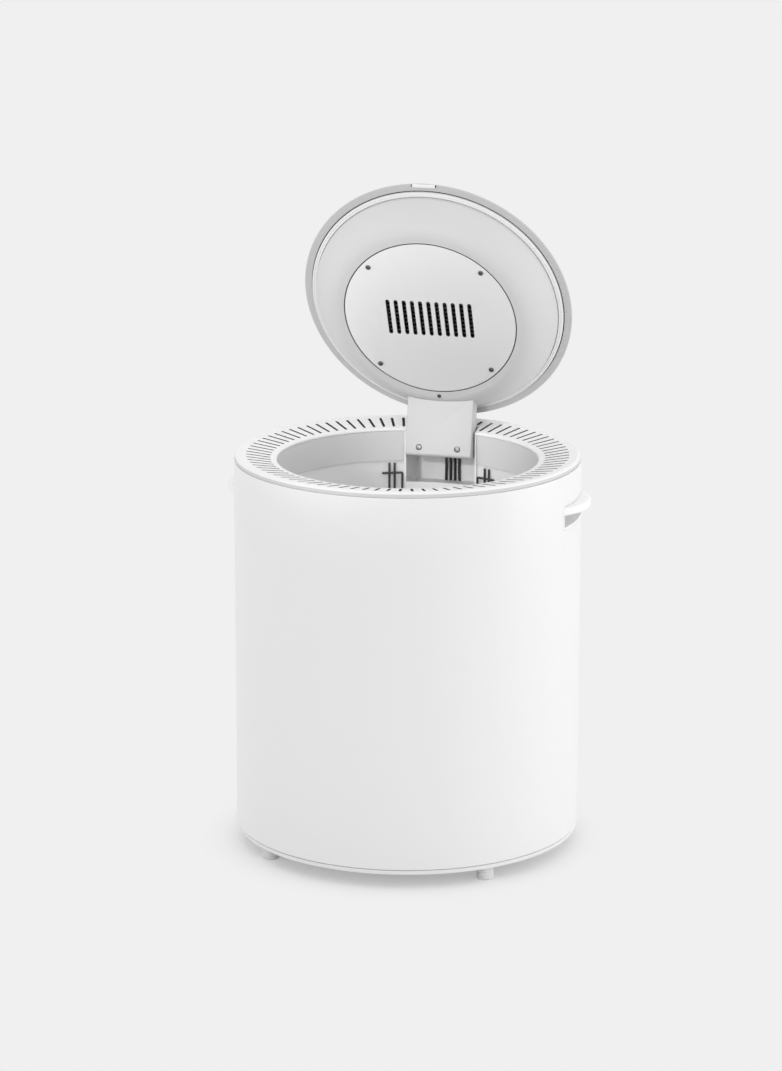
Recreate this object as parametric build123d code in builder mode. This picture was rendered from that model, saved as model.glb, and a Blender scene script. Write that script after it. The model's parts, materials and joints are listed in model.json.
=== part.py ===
"""Portable clothes dryer: an upright drum cabinet with a vented top ring and a hinged lid.

The lid holds the heater and the fan, which blow down through a slotted plate into a stainless
drum. It hangs on a pin at the back of the drum's mouth and is modelled open, leaning back.
The origin is the centre of the base's underside, +Z up, the front towards -Y, in millimetres.
"""

import os
from math import asin, cos, degrees, radians, sin, sqrt, tan

from build123d import *

os.makedirs("parts", exist_ok=True)

# Driving dimensions of the cabinet
shell_radius = 190.0
shell_wall = 2.2
shell_bottom = 6.0
shell_height = 410.0
seat_gap = 0.3
running_gap = 0.06
overrun = 1.0
cabinet_edge = 0.8

# Base pan
base_lip_inset = 1.0
base_lip_height = 5.0
base_lip_edge = 2.0
base_floor = 3.0
base_wall = 2.4
spigot_height = 16.0
drum_rib_inset = 23.5
rib_count = 12
rib_height = 14.0

# Feet
foot_radius = 9.5
foot_height = 16.0
foot_inset = 18.0
foot_socket = 1.5
foot_edge = 1.5
foot_count = 4
foot_screw_radius = 2.0
foot_screw_head = 4.0
foot_screw_head_height = 2.4
foot_screw_depth = 10.0
foot_screw_reach = 2.5

# Mouth, vent ring and collar
ring_width = 47.0
ring_wall = 2.2
ring_crest_inset = 4.5
ring_crest_rise = 6.3
ring_dish = 6.5
ring_edge = 1.4
ring_skirt = 14.0
lip_depth = 2.5
slot_pitch_count = 84
slot_width = 3.0
slot_inner_margin = 7.0
slot_outer_margin = 13.5
slot_notch_margin = 4.0
rear_slot_length = 10.5
collar_drop = 34.3
collar_wall = 2.2
ring_notch_inset = 32.0

# Drum
drum_wall = 0.8
drum_overlap = 8.0
drum_floor_height = 28.0
drum_floor_wall = 1.0
drum_flange = 9.0
drum_floor_slots = 30
drum_floor_slot_width = 4.0
drum_floor_slot_inner = 50.0
drum_floor_slot_margin = 10.0

# Lid, given as it lies closed
lid_overlap = 10.0
lid_rise = 5.2
lid_open_angle = 67.0
lid_depth = 28.0
lid_wall = 2.4
lid_shoulder = 16.0
lid_flank_angle = 42.0
rim_thickness = 2.4
rim_edge = 1.0
liner_wall = 2.2
plug_gap = 4.8
plug_drop = 8.0
plug_corner = 12.0
gasket_width = 5.2
gasket_seat = 2.0
plug_flat = 14.0
plug_cone_reach = 24.2
plate_drop = 35.5
plate_wall = 1.0
plate_border = 2.6
plate_gap = 0.8
air_opening_margin = 9.4
intake_count = 21
intake_width = 2.4
intake_length = 14.0
intake_rise = 5.0
intake_spread = 150.0

# Slots and screws of the vent plate
plate_slot_margin = 44.0
plate_slot_pitch = 9.35
plate_slot_length = 44.0
plate_slot_width = 3.8
plate_screw_inset = 6.9
plate_screw_radius = 1.5
plate_screw_head = 3.0
plate_screw_head_height = 1.2
plate_screw_depth = 2.6

# Hinge and arm
hinge_inset = 18.0
hinge_drop = 21.0
pin_radius = 4.0
pin_overhang = 2.5
knuckle_radius = 8.0
bush_radius = 6.0
bush_length = 8.0
arm_width = 76.0
arm_wall = 2.5
arm_face_length = 59.0
arm_face_lean = 33.7
arm_depth = 20.0
arm_toe_inset = 7.3
arm_toe_drop = 68.9
arm_root = 16.0
arm_edge = 3.0
arm_screw_span = 44.6
arm_screw_radius = 1.6
arm_screw_head = 3.4
arm_screw_head_height = 1.4
arm_screw_rise = 10.0
arm_screw_depth = 5.0
bracket_width = 58.0
bracket_wall = 3.0

# Hinge well
well_width = 80.0
well_wall = 2.2
well_depth = 68.0
well_sill_height = 6.0
well_boss_radius = 7.0

# Cables of the lid, down the back of the well
cable_radius = 1.5
cable_count = 4
cable_pitch = 5.2
cable_offset = 2.7
cable_rise = 46.0
cable_clamp_height = 8.0
cable_clamp_depth = 4.2

# Side handles
ledge_overhang = 14.0
ledge_width = 91.4
ledge_inset = 34.5
ledge_height = 9.0
ledge_edge = 2.5
ledge_wall = 3.0
pocket_width = 84.0
pocket_height = 25.5
pocket_depth = 25.0
pocket_wall = 2.5
pocket_corner = 5.0

# Wire rack at the back of the drum
rack_wire = 1.25
rack_inset = 40.0
rack_height = 256.0
rack_bar_insets = (11.0, 126.0)
rack_offset = 13.1
rack_pair_width = 6.0
rack_bar_length = 22.8
rack_hook_drop = 18.0

# Inlet for the mains lead
gland_radius = 6.0
gland_bore = 3.5
gland_flange = 9.0
gland_flange_thickness = 2.5
gland_inside = 8.0
gland_height = 45.0

# Parts inside the lid
heater_length = 100.0
heater_width = 48.0
heater_height = 15.0
heater_rows = 9
heater_fin = 1.0
heater_tray_inset = 5.4
heater_tray_wall = 2.2
fan_radius = 56.0
fan_case_wall = 2.4
fan_case_height = 30.0
fan_tip_gap = 2.0
fan_blades = 7
fan_blade_wall = 1.6
fan_blade_root = 1.5
fan_root_pitch = 45.0
fan_root_chord = 17.0
fan_tip_pitch = 62.0
fan_tip_chord = 28.0
fan_hub_radius = 20.0
fan_hub_height = 15.0
fan_hub_wall = 2.0
fan_shaft_radius = 2.0
motor_radius = 16.0
motor_height = 9.0
strut_width = 8.0
strut_height = 3.0
strut_count = 3
thermostat_radius = 8.0
thermostat_height = 5.0
thermostat_gap = 4.0

# Touch panel on top of the lid
panel_length = 92.0
panel_width = 30.0
panel_thickness = 1.2
panel_inset = 69.0
board_thickness = 1.6
board_margin = 4.0
board_post_radius = 3.0
board_post_height = 5.0
catch_width = 26.0
catch_depth = 4.0
catch_drop = 1.4

# Derived heights and radii
shell_inner = shell_radius - shell_wall
base_lip_radius = shell_radius - base_lip_inset
foot_circle_radius = shell_radius - foot_inset
mouth_radius = shell_radius - ring_width
ring_crest_radius = shell_radius - ring_crest_inset
ring_notch_reach = shell_radius - ring_notch_inset
slot_inner = mouth_radius + slot_inner_margin
slot_outer = shell_radius - slot_outer_margin
rear_slot_inner = slot_outer - rear_slot_length
hinge_reach = shell_radius - hinge_inset
shell_top = shell_bottom + shell_height
spigot_radius = shell_inner - seat_gap
crest_height = shell_top + ring_crest_rise
mouth_height = crest_height - ring_dish
lip_bottom = mouth_height - lip_depth
collar_top = lip_bottom - seat_gap
collar_bottom = lip_bottom - collar_drop
collar_radius = mouth_radius + collar_wall
drum_inner = collar_radius + seat_gap
drum_outer = drum_inner + drum_wall
drum_top = collar_bottom + drum_overlap
drum_seat = drum_floor_height - seat_gap
drum_foot = drum_floor_height - drum_flange
drum_rib_radius = drum_inner - drum_rib_inset
drum_floor_slot_outer = drum_rib_radius - drum_floor_slot_margin
well_floor = shell_top - well_depth
well_sill = well_floor + well_sill_height
ledge_reach = shell_radius + ledge_overhang
ledge_top = shell_top - ledge_inset
pocket_bottom = ledge_top - pocket_height
well_half = well_width / 2
well_outer = well_half + well_wall
notch_half = well_outer + seat_gap
well_back = shell_inner - seat_gap

# The lid's own frame: origin at the centre of its rim, local y towards the hinge, local z out of its top
lid_radius = mouth_radius + lid_overlap
plug_radius = mouth_radius - plug_gap
plug_flat_radius = plug_radius - plug_cone_reach
plate_radius = plug_flat_radius - plug_flat - plate_border
plate_slots = 2 * int((plate_radius - plate_slot_margin) / plate_slot_pitch) + 1
plate_screw_span = sqrt(2) * (plate_radius - plate_screw_inset)
air_opening = plate_radius - air_opening_margin
panel_offset = lid_radius - panel_inset
hinge_height = mouth_height + lid_rise - hinge_drop
swing = radians(lid_open_angle)
lid_y = hinge_reach - hinge_reach * cos(swing) + hinge_drop * sin(swing)
lid_z = hinge_height + hinge_reach * sin(swing) + hinge_drop * cos(swing)
lid_plane = Plane(origin=(0, lid_y, lid_z), x_dir=(1, 0, 0), z_dir=(0, sin(swing), cos(swing)))
lid_section = Plane(origin=lid_plane.origin, x_dir=lid_plane.x_dir, z_dir=-lid_plane.y_dir)
lid_side = Plane(origin=lid_plane.origin, x_dir=lid_plane.y_dir, z_dir=lid_plane.x_dir)
lid_axis = Axis(lid_plane.origin, lid_plane.z_dir)


def lid_level(height):
    """A plane across the lid at this height above its rim."""
    return lid_plane.offset(height)


# Base pan: the floor, a lip that shows under the shell, a spigot inside it and a rib under the drum
with BuildPart() as base_pan:
    with BuildSketch(Plane.XZ) as pan_section:
        with BuildLine():
            Polyline(
                (0, 0),
                (base_lip_radius, 0),
                (base_lip_radius, base_lip_height),
                (spigot_radius, base_lip_height),
                (spigot_radius, base_lip_height + spigot_height),
                (spigot_radius - base_wall, base_lip_height + spigot_height),
                (spigot_radius - base_wall, base_floor),
                (drum_rib_radius + base_wall, base_floor),
                (drum_rib_radius + base_wall, drum_seat),
                (drum_rib_radius, drum_seat),
                (drum_rib_radius, base_floor),
                (0, base_floor),
                close=True,
            )
        make_face()
    revolve(axis=Axis.Z)
    lip_edges = base_pan.edges().filter_by(GeomType.CIRCLE).filter_by(lambda e: e.radius > spigot_radius)
    fillet(lip_edges.group_by(Axis.Z)[0], base_lip_edge)
    rib_length = spigot_radius - drum_rib_radius - 2 * base_wall + overrun
    with BuildSketch(Plane.XY.offset(base_floor - overrun)):
        with PolarLocations(drum_rib_radius + base_wall - overrun / 2 + rib_length / 2, rib_count):
            Rectangle(rib_length, base_wall)
    extrude(amount=rib_height + overrun)
    foot_start = 360 / foot_count / 2
    with BuildSketch(Plane.XY.offset(base_floor - overrun)):
        with PolarLocations(foot_circle_radius, foot_count, start_angle=foot_start):
            Circle(foot_screw_head)
    extrude(amount=foot_screw_depth + overrun)
    with BuildSketch(Plane.XY):
        with PolarLocations(foot_circle_radius, foot_count, start_angle=foot_start):
            Circle(foot_radius + seat_gap)
    extrude(amount=foot_socket, mode=Mode.SUBTRACT)
    with BuildSketch(Plane.XY):
        with PolarLocations(foot_circle_radius, foot_count, start_angle=foot_start):
            Circle(foot_screw_radius + running_gap)
    extrude(amount=foot_screw_depth, mode=Mode.SUBTRACT)
base_pan.part.label = "base_pan"
export_step(base_pan.part, "parts/base_pan.step")

# Feet: four rubber pads with a countersunk seat for their screws
with BuildPart() as foot_pads:
    with BuildSketch(Plane.XY.offset(-foot_height)):
        with PolarLocations(foot_circle_radius, foot_count, start_angle=foot_start):
            Circle(foot_radius)
    extrude(amount=foot_height + foot_socket)
    fillet(foot_pads.edges().filter_by(GeomType.CIRCLE).group_by(Axis.Z)[0], foot_edge)
    with BuildSketch(Plane.XY.offset(-foot_height)):
        with PolarLocations(foot_circle_radius, foot_count, start_angle=foot_start):
            Circle(foot_screw_radius + running_gap)
    extrude(amount=foot_height + foot_socket, mode=Mode.SUBTRACT)
    with BuildSketch(Plane.XY.offset(-foot_height)):
        with PolarLocations(foot_circle_radius, foot_count, start_angle=foot_start):
            Circle(foot_screw_head + seat_gap)
    extrude(amount=foot_height - foot_screw_reach, mode=Mode.SUBTRACT)
foot_pads.part.label = "foot_pads"
export_step(foot_pads.part, "parts/foot_pads.step")

with BuildPart() as foot_screws:
    with BuildSketch(Plane.XY.offset(-foot_screw_reach - foot_screw_head_height)):
        with PolarLocations(foot_circle_radius, foot_count, start_angle=foot_start):
            Circle(foot_screw_head)
    extrude(amount=foot_screw_head_height)
    with BuildSketch(Plane.XY.offset(-foot_screw_reach - foot_screw_head_height)):
        with PolarLocations(foot_circle_radius, foot_count, start_angle=foot_start):
            Circle(foot_screw_radius)
    extrude(amount=foot_screw_head_height + foot_screw_reach + foot_screw_depth - overrun)
foot_screws.part.label = "foot_screws"
export_step(foot_screws.part, "parts/foot_screws.step")

# Shell: a plain steel tube with a window for each handle and a hole for the mains lead
window_width = pocket_width + 2 * seat_gap
window_height = ledge_top - pocket_bottom + 2 * seat_gap
window_middle = (ledge_top + pocket_bottom) / 2
with BuildPart() as outer_shell:
    with BuildSketch(Plane.XY.offset(shell_bottom)):
        Circle(shell_radius)
        Circle(shell_inner, mode=Mode.SUBTRACT)
    extrude(amount=shell_height)
    fillet(outer_shell.edges().filter_by(GeomType.CIRCLE).group_by(Axis.Z)[-1], cabinet_edge)
    with BuildSketch(Plane.YZ.offset(-shell_radius - overrun)):
        with Locations((0, window_middle)):
            RectangleRounded(window_width, window_height, pocket_corner + seat_gap)
    extrude(amount=2 * (shell_radius + overrun), mode=Mode.SUBTRACT)
    with BuildSketch(Plane.XZ.offset(-shell_radius - overrun)):
        with Locations((0, gland_height)):
            Circle(gland_radius + seat_gap)
    extrude(amount=shell_radius, mode=Mode.SUBTRACT)
outer_shell.part.label = "outer_shell"
export_step(outer_shell.part, "parts/outer_shell.step")

# Side handles: a rounded ledge over a finger pocket, moulded in one and set in the shell's window
ledge_sagitta = ledge_reach - sqrt(shell_radius**2 - (ledge_width / 2) ** 2)
ledge_radius = ((ledge_width / 2) ** 2 + ledge_sagitta**2) / (2 * ledge_sagitta)
ledge_centre = ledge_reach - ledge_radius
handle_face = shell_radius + running_gap
pocket_back = shell_radius - pocket_depth
with BuildPart() as side_handle_right:
    with BuildSketch(Plane.YZ.offset(pocket_back)):
        with Locations((0, window_middle)):
            RectangleRounded(pocket_width, ledge_top - pocket_bottom, pocket_corner)
    extrude(amount=2 * pocket_depth)
    with BuildSketch(Plane.XY.offset(pocket_bottom - overrun)):
        Circle(handle_face)
    extrude(amount=ledge_top - pocket_bottom + 2 * overrun, mode=Mode.INTERSECT)
    with BuildPart(mode=Mode.PRIVATE) as ledge:
        with BuildSketch(Plane.XY.offset(ledge_top - ledge_height)):
            with Locations((ledge_centre, 0)):
                Circle(ledge_radius)
        extrude(amount=ledge_height)
        fillet(ledge.edges().filter_by(GeomType.CIRCLE), ledge_edge)
        with BuildSketch(Plane.XY.offset(ledge_top - ledge_height)):
            Circle(handle_face)
        extrude(amount=ledge_height, mode=Mode.SUBTRACT)
    add(ledge.part)
    with BuildSketch(Plane.XY.offset(pocket_bottom + pocket_wall)) as finger_space:
        with Locations((ledge_centre, 0)):
            Circle(ledge_radius - ledge_wall)
        with Locations((pocket_back + pocket_wall, 0)):
            Rectangle(
                2 * pocket_depth,
                pocket_width - 2 * pocket_wall,
                align=(Align.MIN, Align.CENTER),
                mode=Mode.INTERSECT,
            )
        fillet(finger_space.vertices().group_by(Axis.X)[0], pocket_corner)
    extrude(amount=ledge_top - pocket_bottom - pocket_wall - ledge_wall, mode=Mode.SUBTRACT)
side_handle_right.part.label = "side_handle_right"
export_step(side_handle_right.part, "parts/side_handle_right.step")

with BuildPart() as side_handle_left:
    mirror(side_handle_right.part, about=Plane.YZ)
side_handle_left.part.label = "side_handle_left"
export_step(side_handle_left.part, "parts/side_handle_left.step")

# Top ring: a dished ring of radial slots that lets the damp air out all round the mouth
slope = ring_dish / (ring_crest_radius - mouth_radius)
slot_step = 360 / slot_pitch_count
rear_slot_half_count = int(degrees(asin((well_half + slot_notch_margin) / slot_inner)) / slot_step)
rear_gap = slot_step * (rear_slot_half_count + 1)
with BuildPart() as top_ring:
    with BuildSketch(Plane.XZ) as ring_section:
        with BuildLine():
            Polyline(
                (mouth_radius, lip_bottom),
                (mouth_radius, mouth_height),
                (ring_crest_radius, crest_height),
                (shell_radius - ring_edge, crest_height - ring_edge),
                (shell_radius - ring_edge, shell_top + seat_gap),
                (spigot_radius, shell_top + seat_gap),
                (spigot_radius, shell_top - ring_skirt),
                (spigot_radius - ring_wall, shell_top - ring_skirt),
                (spigot_radius - ring_wall, crest_height - ring_wall - slope * ring_wall),
                (collar_radius, mouth_height - ring_wall + slope * collar_wall),
                (collar_radius, lip_bottom),
                close=True,
            )
        make_face()
    revolve(axis=Axis.Z)
    rims = top_ring.edges().filter_by(GeomType.CIRCLE)
    fillet(rims.filter_by(lambda e: abs(e.radius - mouth_radius) < seat_gap).group_by(Axis.Z)[-1], ring_edge)
    rims = top_ring.edges().filter_by(GeomType.CIRCLE)
    fillet(rims.filter_by(lambda e: abs(e.radius - ring_crest_radius) < seat_gap), ring_edge)
    with BuildSketch(Plane.XY.offset(lip_bottom - overrun)):
        with PolarLocations(
            (slot_inner + slot_outer) / 2,
            slot_pitch_count - 2 * rear_slot_half_count - 1,
            start_angle=90 + rear_gap,
            angular_range=360 - 2 * rear_gap,
            endpoint=True,
        ):
            Rectangle(slot_outer - slot_inner, slot_width)
        with PolarLocations(
            (rear_slot_inner + slot_outer) / 2,
            2 * rear_slot_half_count + 1,
            start_angle=90 - rear_gap + slot_step,
            angular_range=2 * (rear_gap - slot_step),
            endpoint=True,
        ):
            Rectangle(slot_outer - rear_slot_inner, slot_width)
    extrude(amount=crest_height, mode=Mode.SUBTRACT)
    with BuildSketch(Plane.XY.offset(lip_bottom - overrun)):
        with Locations((0, ring_notch_reach)):
            Rectangle(well_width, ring_notch_reach, align=(Align.CENTER, Align.MAX))
    extrude(amount=crest_height, mode=Mode.SUBTRACT)
    with BuildSketch(Plane.XY.offset(lip_bottom)):
        Rectangle(2 * notch_half, shell_radius, align=(Align.CENTER, Align.MIN))
    extrude(amount=-shell_height, mode=Mode.SUBTRACT)
top_ring.part.label = "top_ring"
export_step(top_ring.part, "parts/top_ring.step")

# Inner collar: the band that joins the ring to the drum, open at the back for the lid's arm
with BuildPart() as inner_collar:
    with BuildSketch(Plane.XY.offset(collar_bottom)):
        Circle(collar_radius)
        Circle(mouth_radius, mode=Mode.SUBTRACT)
        Rectangle(2 * notch_half, shell_radius, align=(Align.CENTER, Align.MIN), mode=Mode.SUBTRACT)
    extrude(amount=collar_top - collar_bottom)
inner_collar.part.label = "inner_collar"
export_step(inner_collar.part, "parts/inner_collar.step")

# Drum: a rolled stainless wall that tucks outside the collar, cut away for the hinge well
with BuildPart() as inner_drum:
    with BuildSketch(Plane.XY.offset(drum_foot)):
        Circle(drum_outer)
        Circle(drum_inner, mode=Mode.SUBTRACT)
    extrude(amount=drum_top - drum_foot)
    with BuildSketch(Plane.XY.offset(well_floor - well_wall - seat_gap)):
        Rectangle(2 * notch_half, shell_radius, align=(Align.CENTER, Align.MIN))
    extrude(amount=drum_top, mode=Mode.SUBTRACT)
inner_drum.part.label = "inner_drum"
export_step(inner_drum.part, "parts/inner_drum.step")

# Drum floor: a disc with radial slots and a turned-down edge, which stands on the base's rib
floor_radius = drum_inner - seat_gap
with BuildPart() as drum_floor:
    with BuildSketch(Plane.XY.offset(drum_foot)):
        Circle(floor_radius)
    extrude(amount=drum_flange + drum_floor_wall)
    fillet(drum_floor.edges().filter_by(GeomType.CIRCLE).group_by(Axis.Z)[-1], 3 * drum_floor_wall)
    offset(amount=-drum_floor_wall, openings=drum_floor.faces().sort_by(Axis.Z)[0])
    with BuildSketch(Plane.XY.offset(drum_floor_height - overrun)):
        with PolarLocations((drum_floor_slot_inner + drum_floor_slot_outer) / 2, drum_floor_slots):
            Rectangle(drum_floor_slot_outer - drum_floor_slot_inner, drum_floor_slot_width)
    extrude(amount=2 * overrun + drum_floor_wall, mode=Mode.SUBTRACT)
drum_floor.part.label = "drum_floor"
export_step(drum_floor.part, "parts/drum_floor.step")

# Hinge well: a box behind the mouth, open to it, that carries the pin and takes the arm
with BuildPart() as hinge_well:
    with BuildSketch(Plane.XY.offset(well_floor - well_wall)):
        Circle(well_back)
        Circle(mouth_radius, mode=Mode.SUBTRACT)
        Rectangle(2 * well_outer, shell_radius, align=(Align.CENTER, Align.MIN), mode=Mode.INTERSECT)
    extrude(amount=collar_top - well_floor + well_wall)
    with BuildSketch(Plane.XY.offset(well_floor)):
        Circle(well_back - well_wall)
        Circle(collar_radius, mode=Mode.SUBTRACT)
        Rectangle(well_width, shell_radius, align=(Align.CENTER, Align.MIN), mode=Mode.INTERSECT)
    extrude(amount=collar_top, mode=Mode.SUBTRACT)
    with BuildSketch(Plane.XY.offset(well_sill)):
        Circle(drum_outer)
        Rectangle(well_width, shell_radius, align=(Align.CENTER, Align.MIN), mode=Mode.INTERSECT)
    extrude(amount=collar_top, mode=Mode.SUBTRACT)
    with BuildSketch(Plane.YZ.offset(-well_outer - pin_overhang)):
        with Locations((hinge_reach, hinge_height)):
            Circle(well_boss_radius)
    extrude(amount=pin_overhang)
    with BuildSketch(Plane.YZ.offset(well_outer)):
        with Locations((hinge_reach, hinge_height)):
            Circle(well_boss_radius)
    extrude(amount=pin_overhang)
    with BuildSketch(Plane.XY.offset(well_floor - well_wall)):
        Circle(well_back)
    extrude(amount=collar_top, mode=Mode.INTERSECT)
    with BuildSketch(Plane.YZ):
        with Locations((hinge_reach, hinge_height)):
            Circle(pin_radius + running_gap)
    extrude(amount=well_outer + 2 * pin_overhang, both=True, mode=Mode.SUBTRACT)
hinge_well.part.label = "hinge_well"
export_step(hinge_well.part, "parts/hinge_well.step")

with BuildPart() as hinge_pin:
    with BuildSketch(Plane.YZ):
        with Locations((hinge_reach, hinge_height)):
            Circle(pin_radius)
    extrude(amount=well_outer + pin_overhang, both=True)
    chamfer(hinge_pin.edges().filter_by(GeomType.CIRCLE), cabinet_edge)
hinge_pin.part.label = "hinge_pin"
export_step(hinge_pin.part, "parts/hinge_pin.step")

# Cables of the lid: four insulated wires up the back of the well, held in a clamp
clamp_half = cable_count * cable_pitch / 2 + cable_radius
clamp_back = sqrt((well_back - well_wall) ** 2 - (clamp_half + cable_offset) ** 2) - running_gap
cable_y = clamp_back - cable_radius - seat_gap
clamp_level = well_floor + cable_rise - cable_clamp_height
with BuildPart() as hinge_cables:
    with BuildSketch(Plane.XY.offset(well_floor)):
        with Locations((cable_offset, cable_y)):
            with GridLocations(cable_pitch, cable_pitch, cable_count, 1):
                Circle(cable_radius)
    extrude(amount=cable_rise)
hinge_cables.part.label = "hinge_cables"
export_step(hinge_cables.part, "parts/hinge_cables.step")

with BuildPart() as cable_clamp:
    with BuildSketch(Plane.XY.offset(clamp_level)):
        with Locations((cable_offset, clamp_back)):
            Rectangle(2 * clamp_half, cable_clamp_depth, align=(Align.CENTER, Align.MAX))
    extrude(amount=cable_clamp_height - cable_radius)
    with BuildSketch(Plane.XY.offset(well_floor)):
        with Locations((cable_offset, cable_y)):
            with GridLocations(cable_pitch, cable_pitch, cable_count, 1):
                Circle(cable_radius + running_gap)
    extrude(amount=cable_rise, mode=Mode.SUBTRACT)
cable_clamp.part.label = "cable_clamp"
export_step(cable_clamp.part, "parts/cable_clamp.step")

# Wire rack: uprights, cross bars and hooks of round wire against the back of the drum
rack_radius = drum_inner - seat_gap - rack_wire
rack_bar_radius = rack_radius - rack_wire * 3 / 2
rack_top = shell_top - rack_inset
rack_bottom = rack_top - rack_height
rack_angle = degrees(asin((well_outer + rack_offset) / rack_radius))
rack_pair_angle = degrees(rack_pair_width / rack_radius)
rack_bar_angle = degrees(rack_bar_length / rack_bar_radius)
rack_hook_angle = rack_bar_angle / 2 - degrees(rack_wire / rack_bar_radius)
with BuildPart() as wire_rack:
    for side in (-1, 1):
        middle = 90 + side * rack_angle
        with BuildSketch(Plane.XY.offset(rack_bottom)):
            with PolarLocations(rack_radius, 2, middle - rack_pair_angle / 2, rack_pair_angle, endpoint=True):
                Circle(rack_wire)
        extrude(amount=rack_height)
        for bar_inset in rack_bar_insets:
            with BuildSketch(Plane.XZ.rotated((0, 0, middle - rack_bar_angle / 2))):
                with Locations((rack_bar_radius, rack_top - bar_inset)):
                    Circle(rack_wire)
            revolve(axis=Axis.Z, revolution_arc=rack_bar_angle)
        with BuildSketch(Plane.XY.offset(rack_top - rack_bar_insets[0])):
            with PolarLocations(rack_bar_radius, 1, middle + side * rack_hook_angle):
                Circle(rack_wire)
        extrude(amount=-rack_hook_drop)
    rail_angle = 2 * rack_angle + rack_pair_angle
    with BuildSketch(Plane.XZ.rotated((0, 0, 90 - rail_angle / 2))):
        with Locations((rack_bar_radius, rack_bottom + rack_wire)):
            Circle(rack_wire)
    revolve(axis=Axis.Z, revolution_arc=rail_angle)
wire_rack.part.label = "wire_rack"
export_step(wire_rack.part, "parts/wire_rack.step")

# Inlet gland at the back of the shell
with BuildPart() as cord_gland:
    with BuildSketch(Plane.XZ.offset(-shell_radius)):
        with Locations((0, gland_height)):
            Circle(gland_flange)
    extrude(amount=-gland_flange_thickness)
    fillet(cord_gland.edges().filter_by(GeomType.CIRCLE).group_by(Axis.Y)[-1], cabinet_edge)
    with BuildSketch(Plane.XZ.offset(-shell_radius)):
        with Locations((0, gland_height)):
            Circle(gland_radius)
    extrude(amount=shell_wall + gland_inside)
    with BuildSketch(Plane.XZ.offset(-shell_radius + shell_wall + gland_inside)):
        with Locations((0, gland_height)):
            Circle(gland_bore)
    extrude(amount=-shell_radius, mode=Mode.SUBTRACT)
cord_gland.part.label = "cord_gland"
export_step(cord_gland.part, "parts/cord_gland.step")

# Rim: the grey trim ring round the lid's underside, whose rounded edge is the lid's widest part
gasket_outer = plug_radius + seat_gap + gasket_width
gasket_bottom = seat_gap + slope * (gasket_outer - mouth_radius) - lid_rise
with BuildPart() as lid_rim:
    with BuildSketch(lid_section) as rim_section:
        with Locations((gasket_outer + seat_gap, 0)):
            Rectangle(lid_radius - gasket_outer - seat_gap, rim_thickness, align=(Align.MIN, Align.CENTER))
        fillet(rim_section.vertices().group_by(Axis.X)[-1], rim_edge)
    revolve(axis=lid_axis)
lid_rim.part.label = "lid_rim"
export_step(lid_rim.part, "parts/lid_rim.step")

# Lid cover: a cap with a sloping flank and a flat top, intake slots round its back
cover_level = rim_thickness / 2 + seat_gap
flank = tan(radians(lid_flank_angle))
cover_radius = lid_radius - flank * cover_level
cover_top_radius = lid_radius - flank * lid_depth
flank_wall = lid_wall / cos(radians(lid_flank_angle))
hollow_top = lid_depth - lid_wall
with BuildPart() as lid_cover:
    with BuildSketch(lid_section) as cover_section:
        with BuildLine():
            Polyline(
                (0, cover_level),
                (cover_radius, cover_level),
                (cover_top_radius, lid_depth),
                (0, lid_depth),
                close=True,
            )
        make_face()
        fillet(cover_section.vertices().group_by(Axis.Y)[-1].sort_by(Axis.X)[-1], lid_shoulder)
    revolve(axis=lid_axis)
    with BuildSketch(lid_section) as hollow_section:
        with BuildLine():
            Polyline(
                (0, cover_level - overrun),
                (cover_radius + flank * overrun - flank_wall, cover_level - overrun),
                (lid_radius - flank * hollow_top - flank_wall, hollow_top),
                (0, hollow_top),
                close=True,
            )
        make_face()
        fillet(hollow_section.vertices().group_by(Axis.Y)[-1].sort_by(Axis.X)[-1], lid_shoulder - lid_wall)
    revolve(axis=lid_axis, mode=Mode.SUBTRACT)
    intake_reach = lid_radius - flank * (intake_rise + intake_length / 2)
    with BuildSketch(lid_level(intake_rise)):
        with PolarLocations(
            intake_reach,
            intake_count,
            start_angle=90 - intake_spread / 2,
            angular_range=intake_spread,
            endpoint=True,
        ):
            Rectangle(intake_length + 2 * flank_wall, intake_width)
    extrude(amount=intake_length / 2, mode=Mode.SUBTRACT)
    with BuildSketch(lid_level(lid_depth)):
        with Locations((0, -panel_offset)):
            SlotOverall(panel_length + 2 * seat_gap, panel_width + 2 * seat_gap)
    extrude(amount=-panel_thickness, mode=Mode.SUBTRACT)
    with BuildSketch(lid_level(lid_depth - lid_wall + overrun / 2)):
        with Locations((0, -panel_offset)):
            with GridLocations(panel_length - 4 * board_margin, panel_width / 2, 2, 2):
                Circle(board_post_radius)
    extrude(amount=-board_post_height - overrun / 2)
lid_cover.part.label = "lid_cover"
export_step(lid_cover.part, "parts/lid_cover.step")

with BuildPart() as touch_panel:
    with BuildSketch(lid_level(lid_depth - panel_thickness)):
        with Locations((0, -panel_offset)):
            SlotOverall(panel_length, panel_width)
    extrude(amount=panel_thickness)
touch_panel.part.label = "touch_panel"
export_step(touch_panel.part, "parts/touch_panel.step")

board_level = lid_depth - lid_wall - board_post_height - board_thickness
with BuildPart() as control_board:
    with BuildSketch(lid_level(board_level)):
        with Locations((0, -panel_offset)):
            Rectangle(panel_length, panel_width)
    extrude(amount=board_thickness)
control_board.part.label = "control_board"
export_step(control_board.part, "parts/control_board.step")

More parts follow.
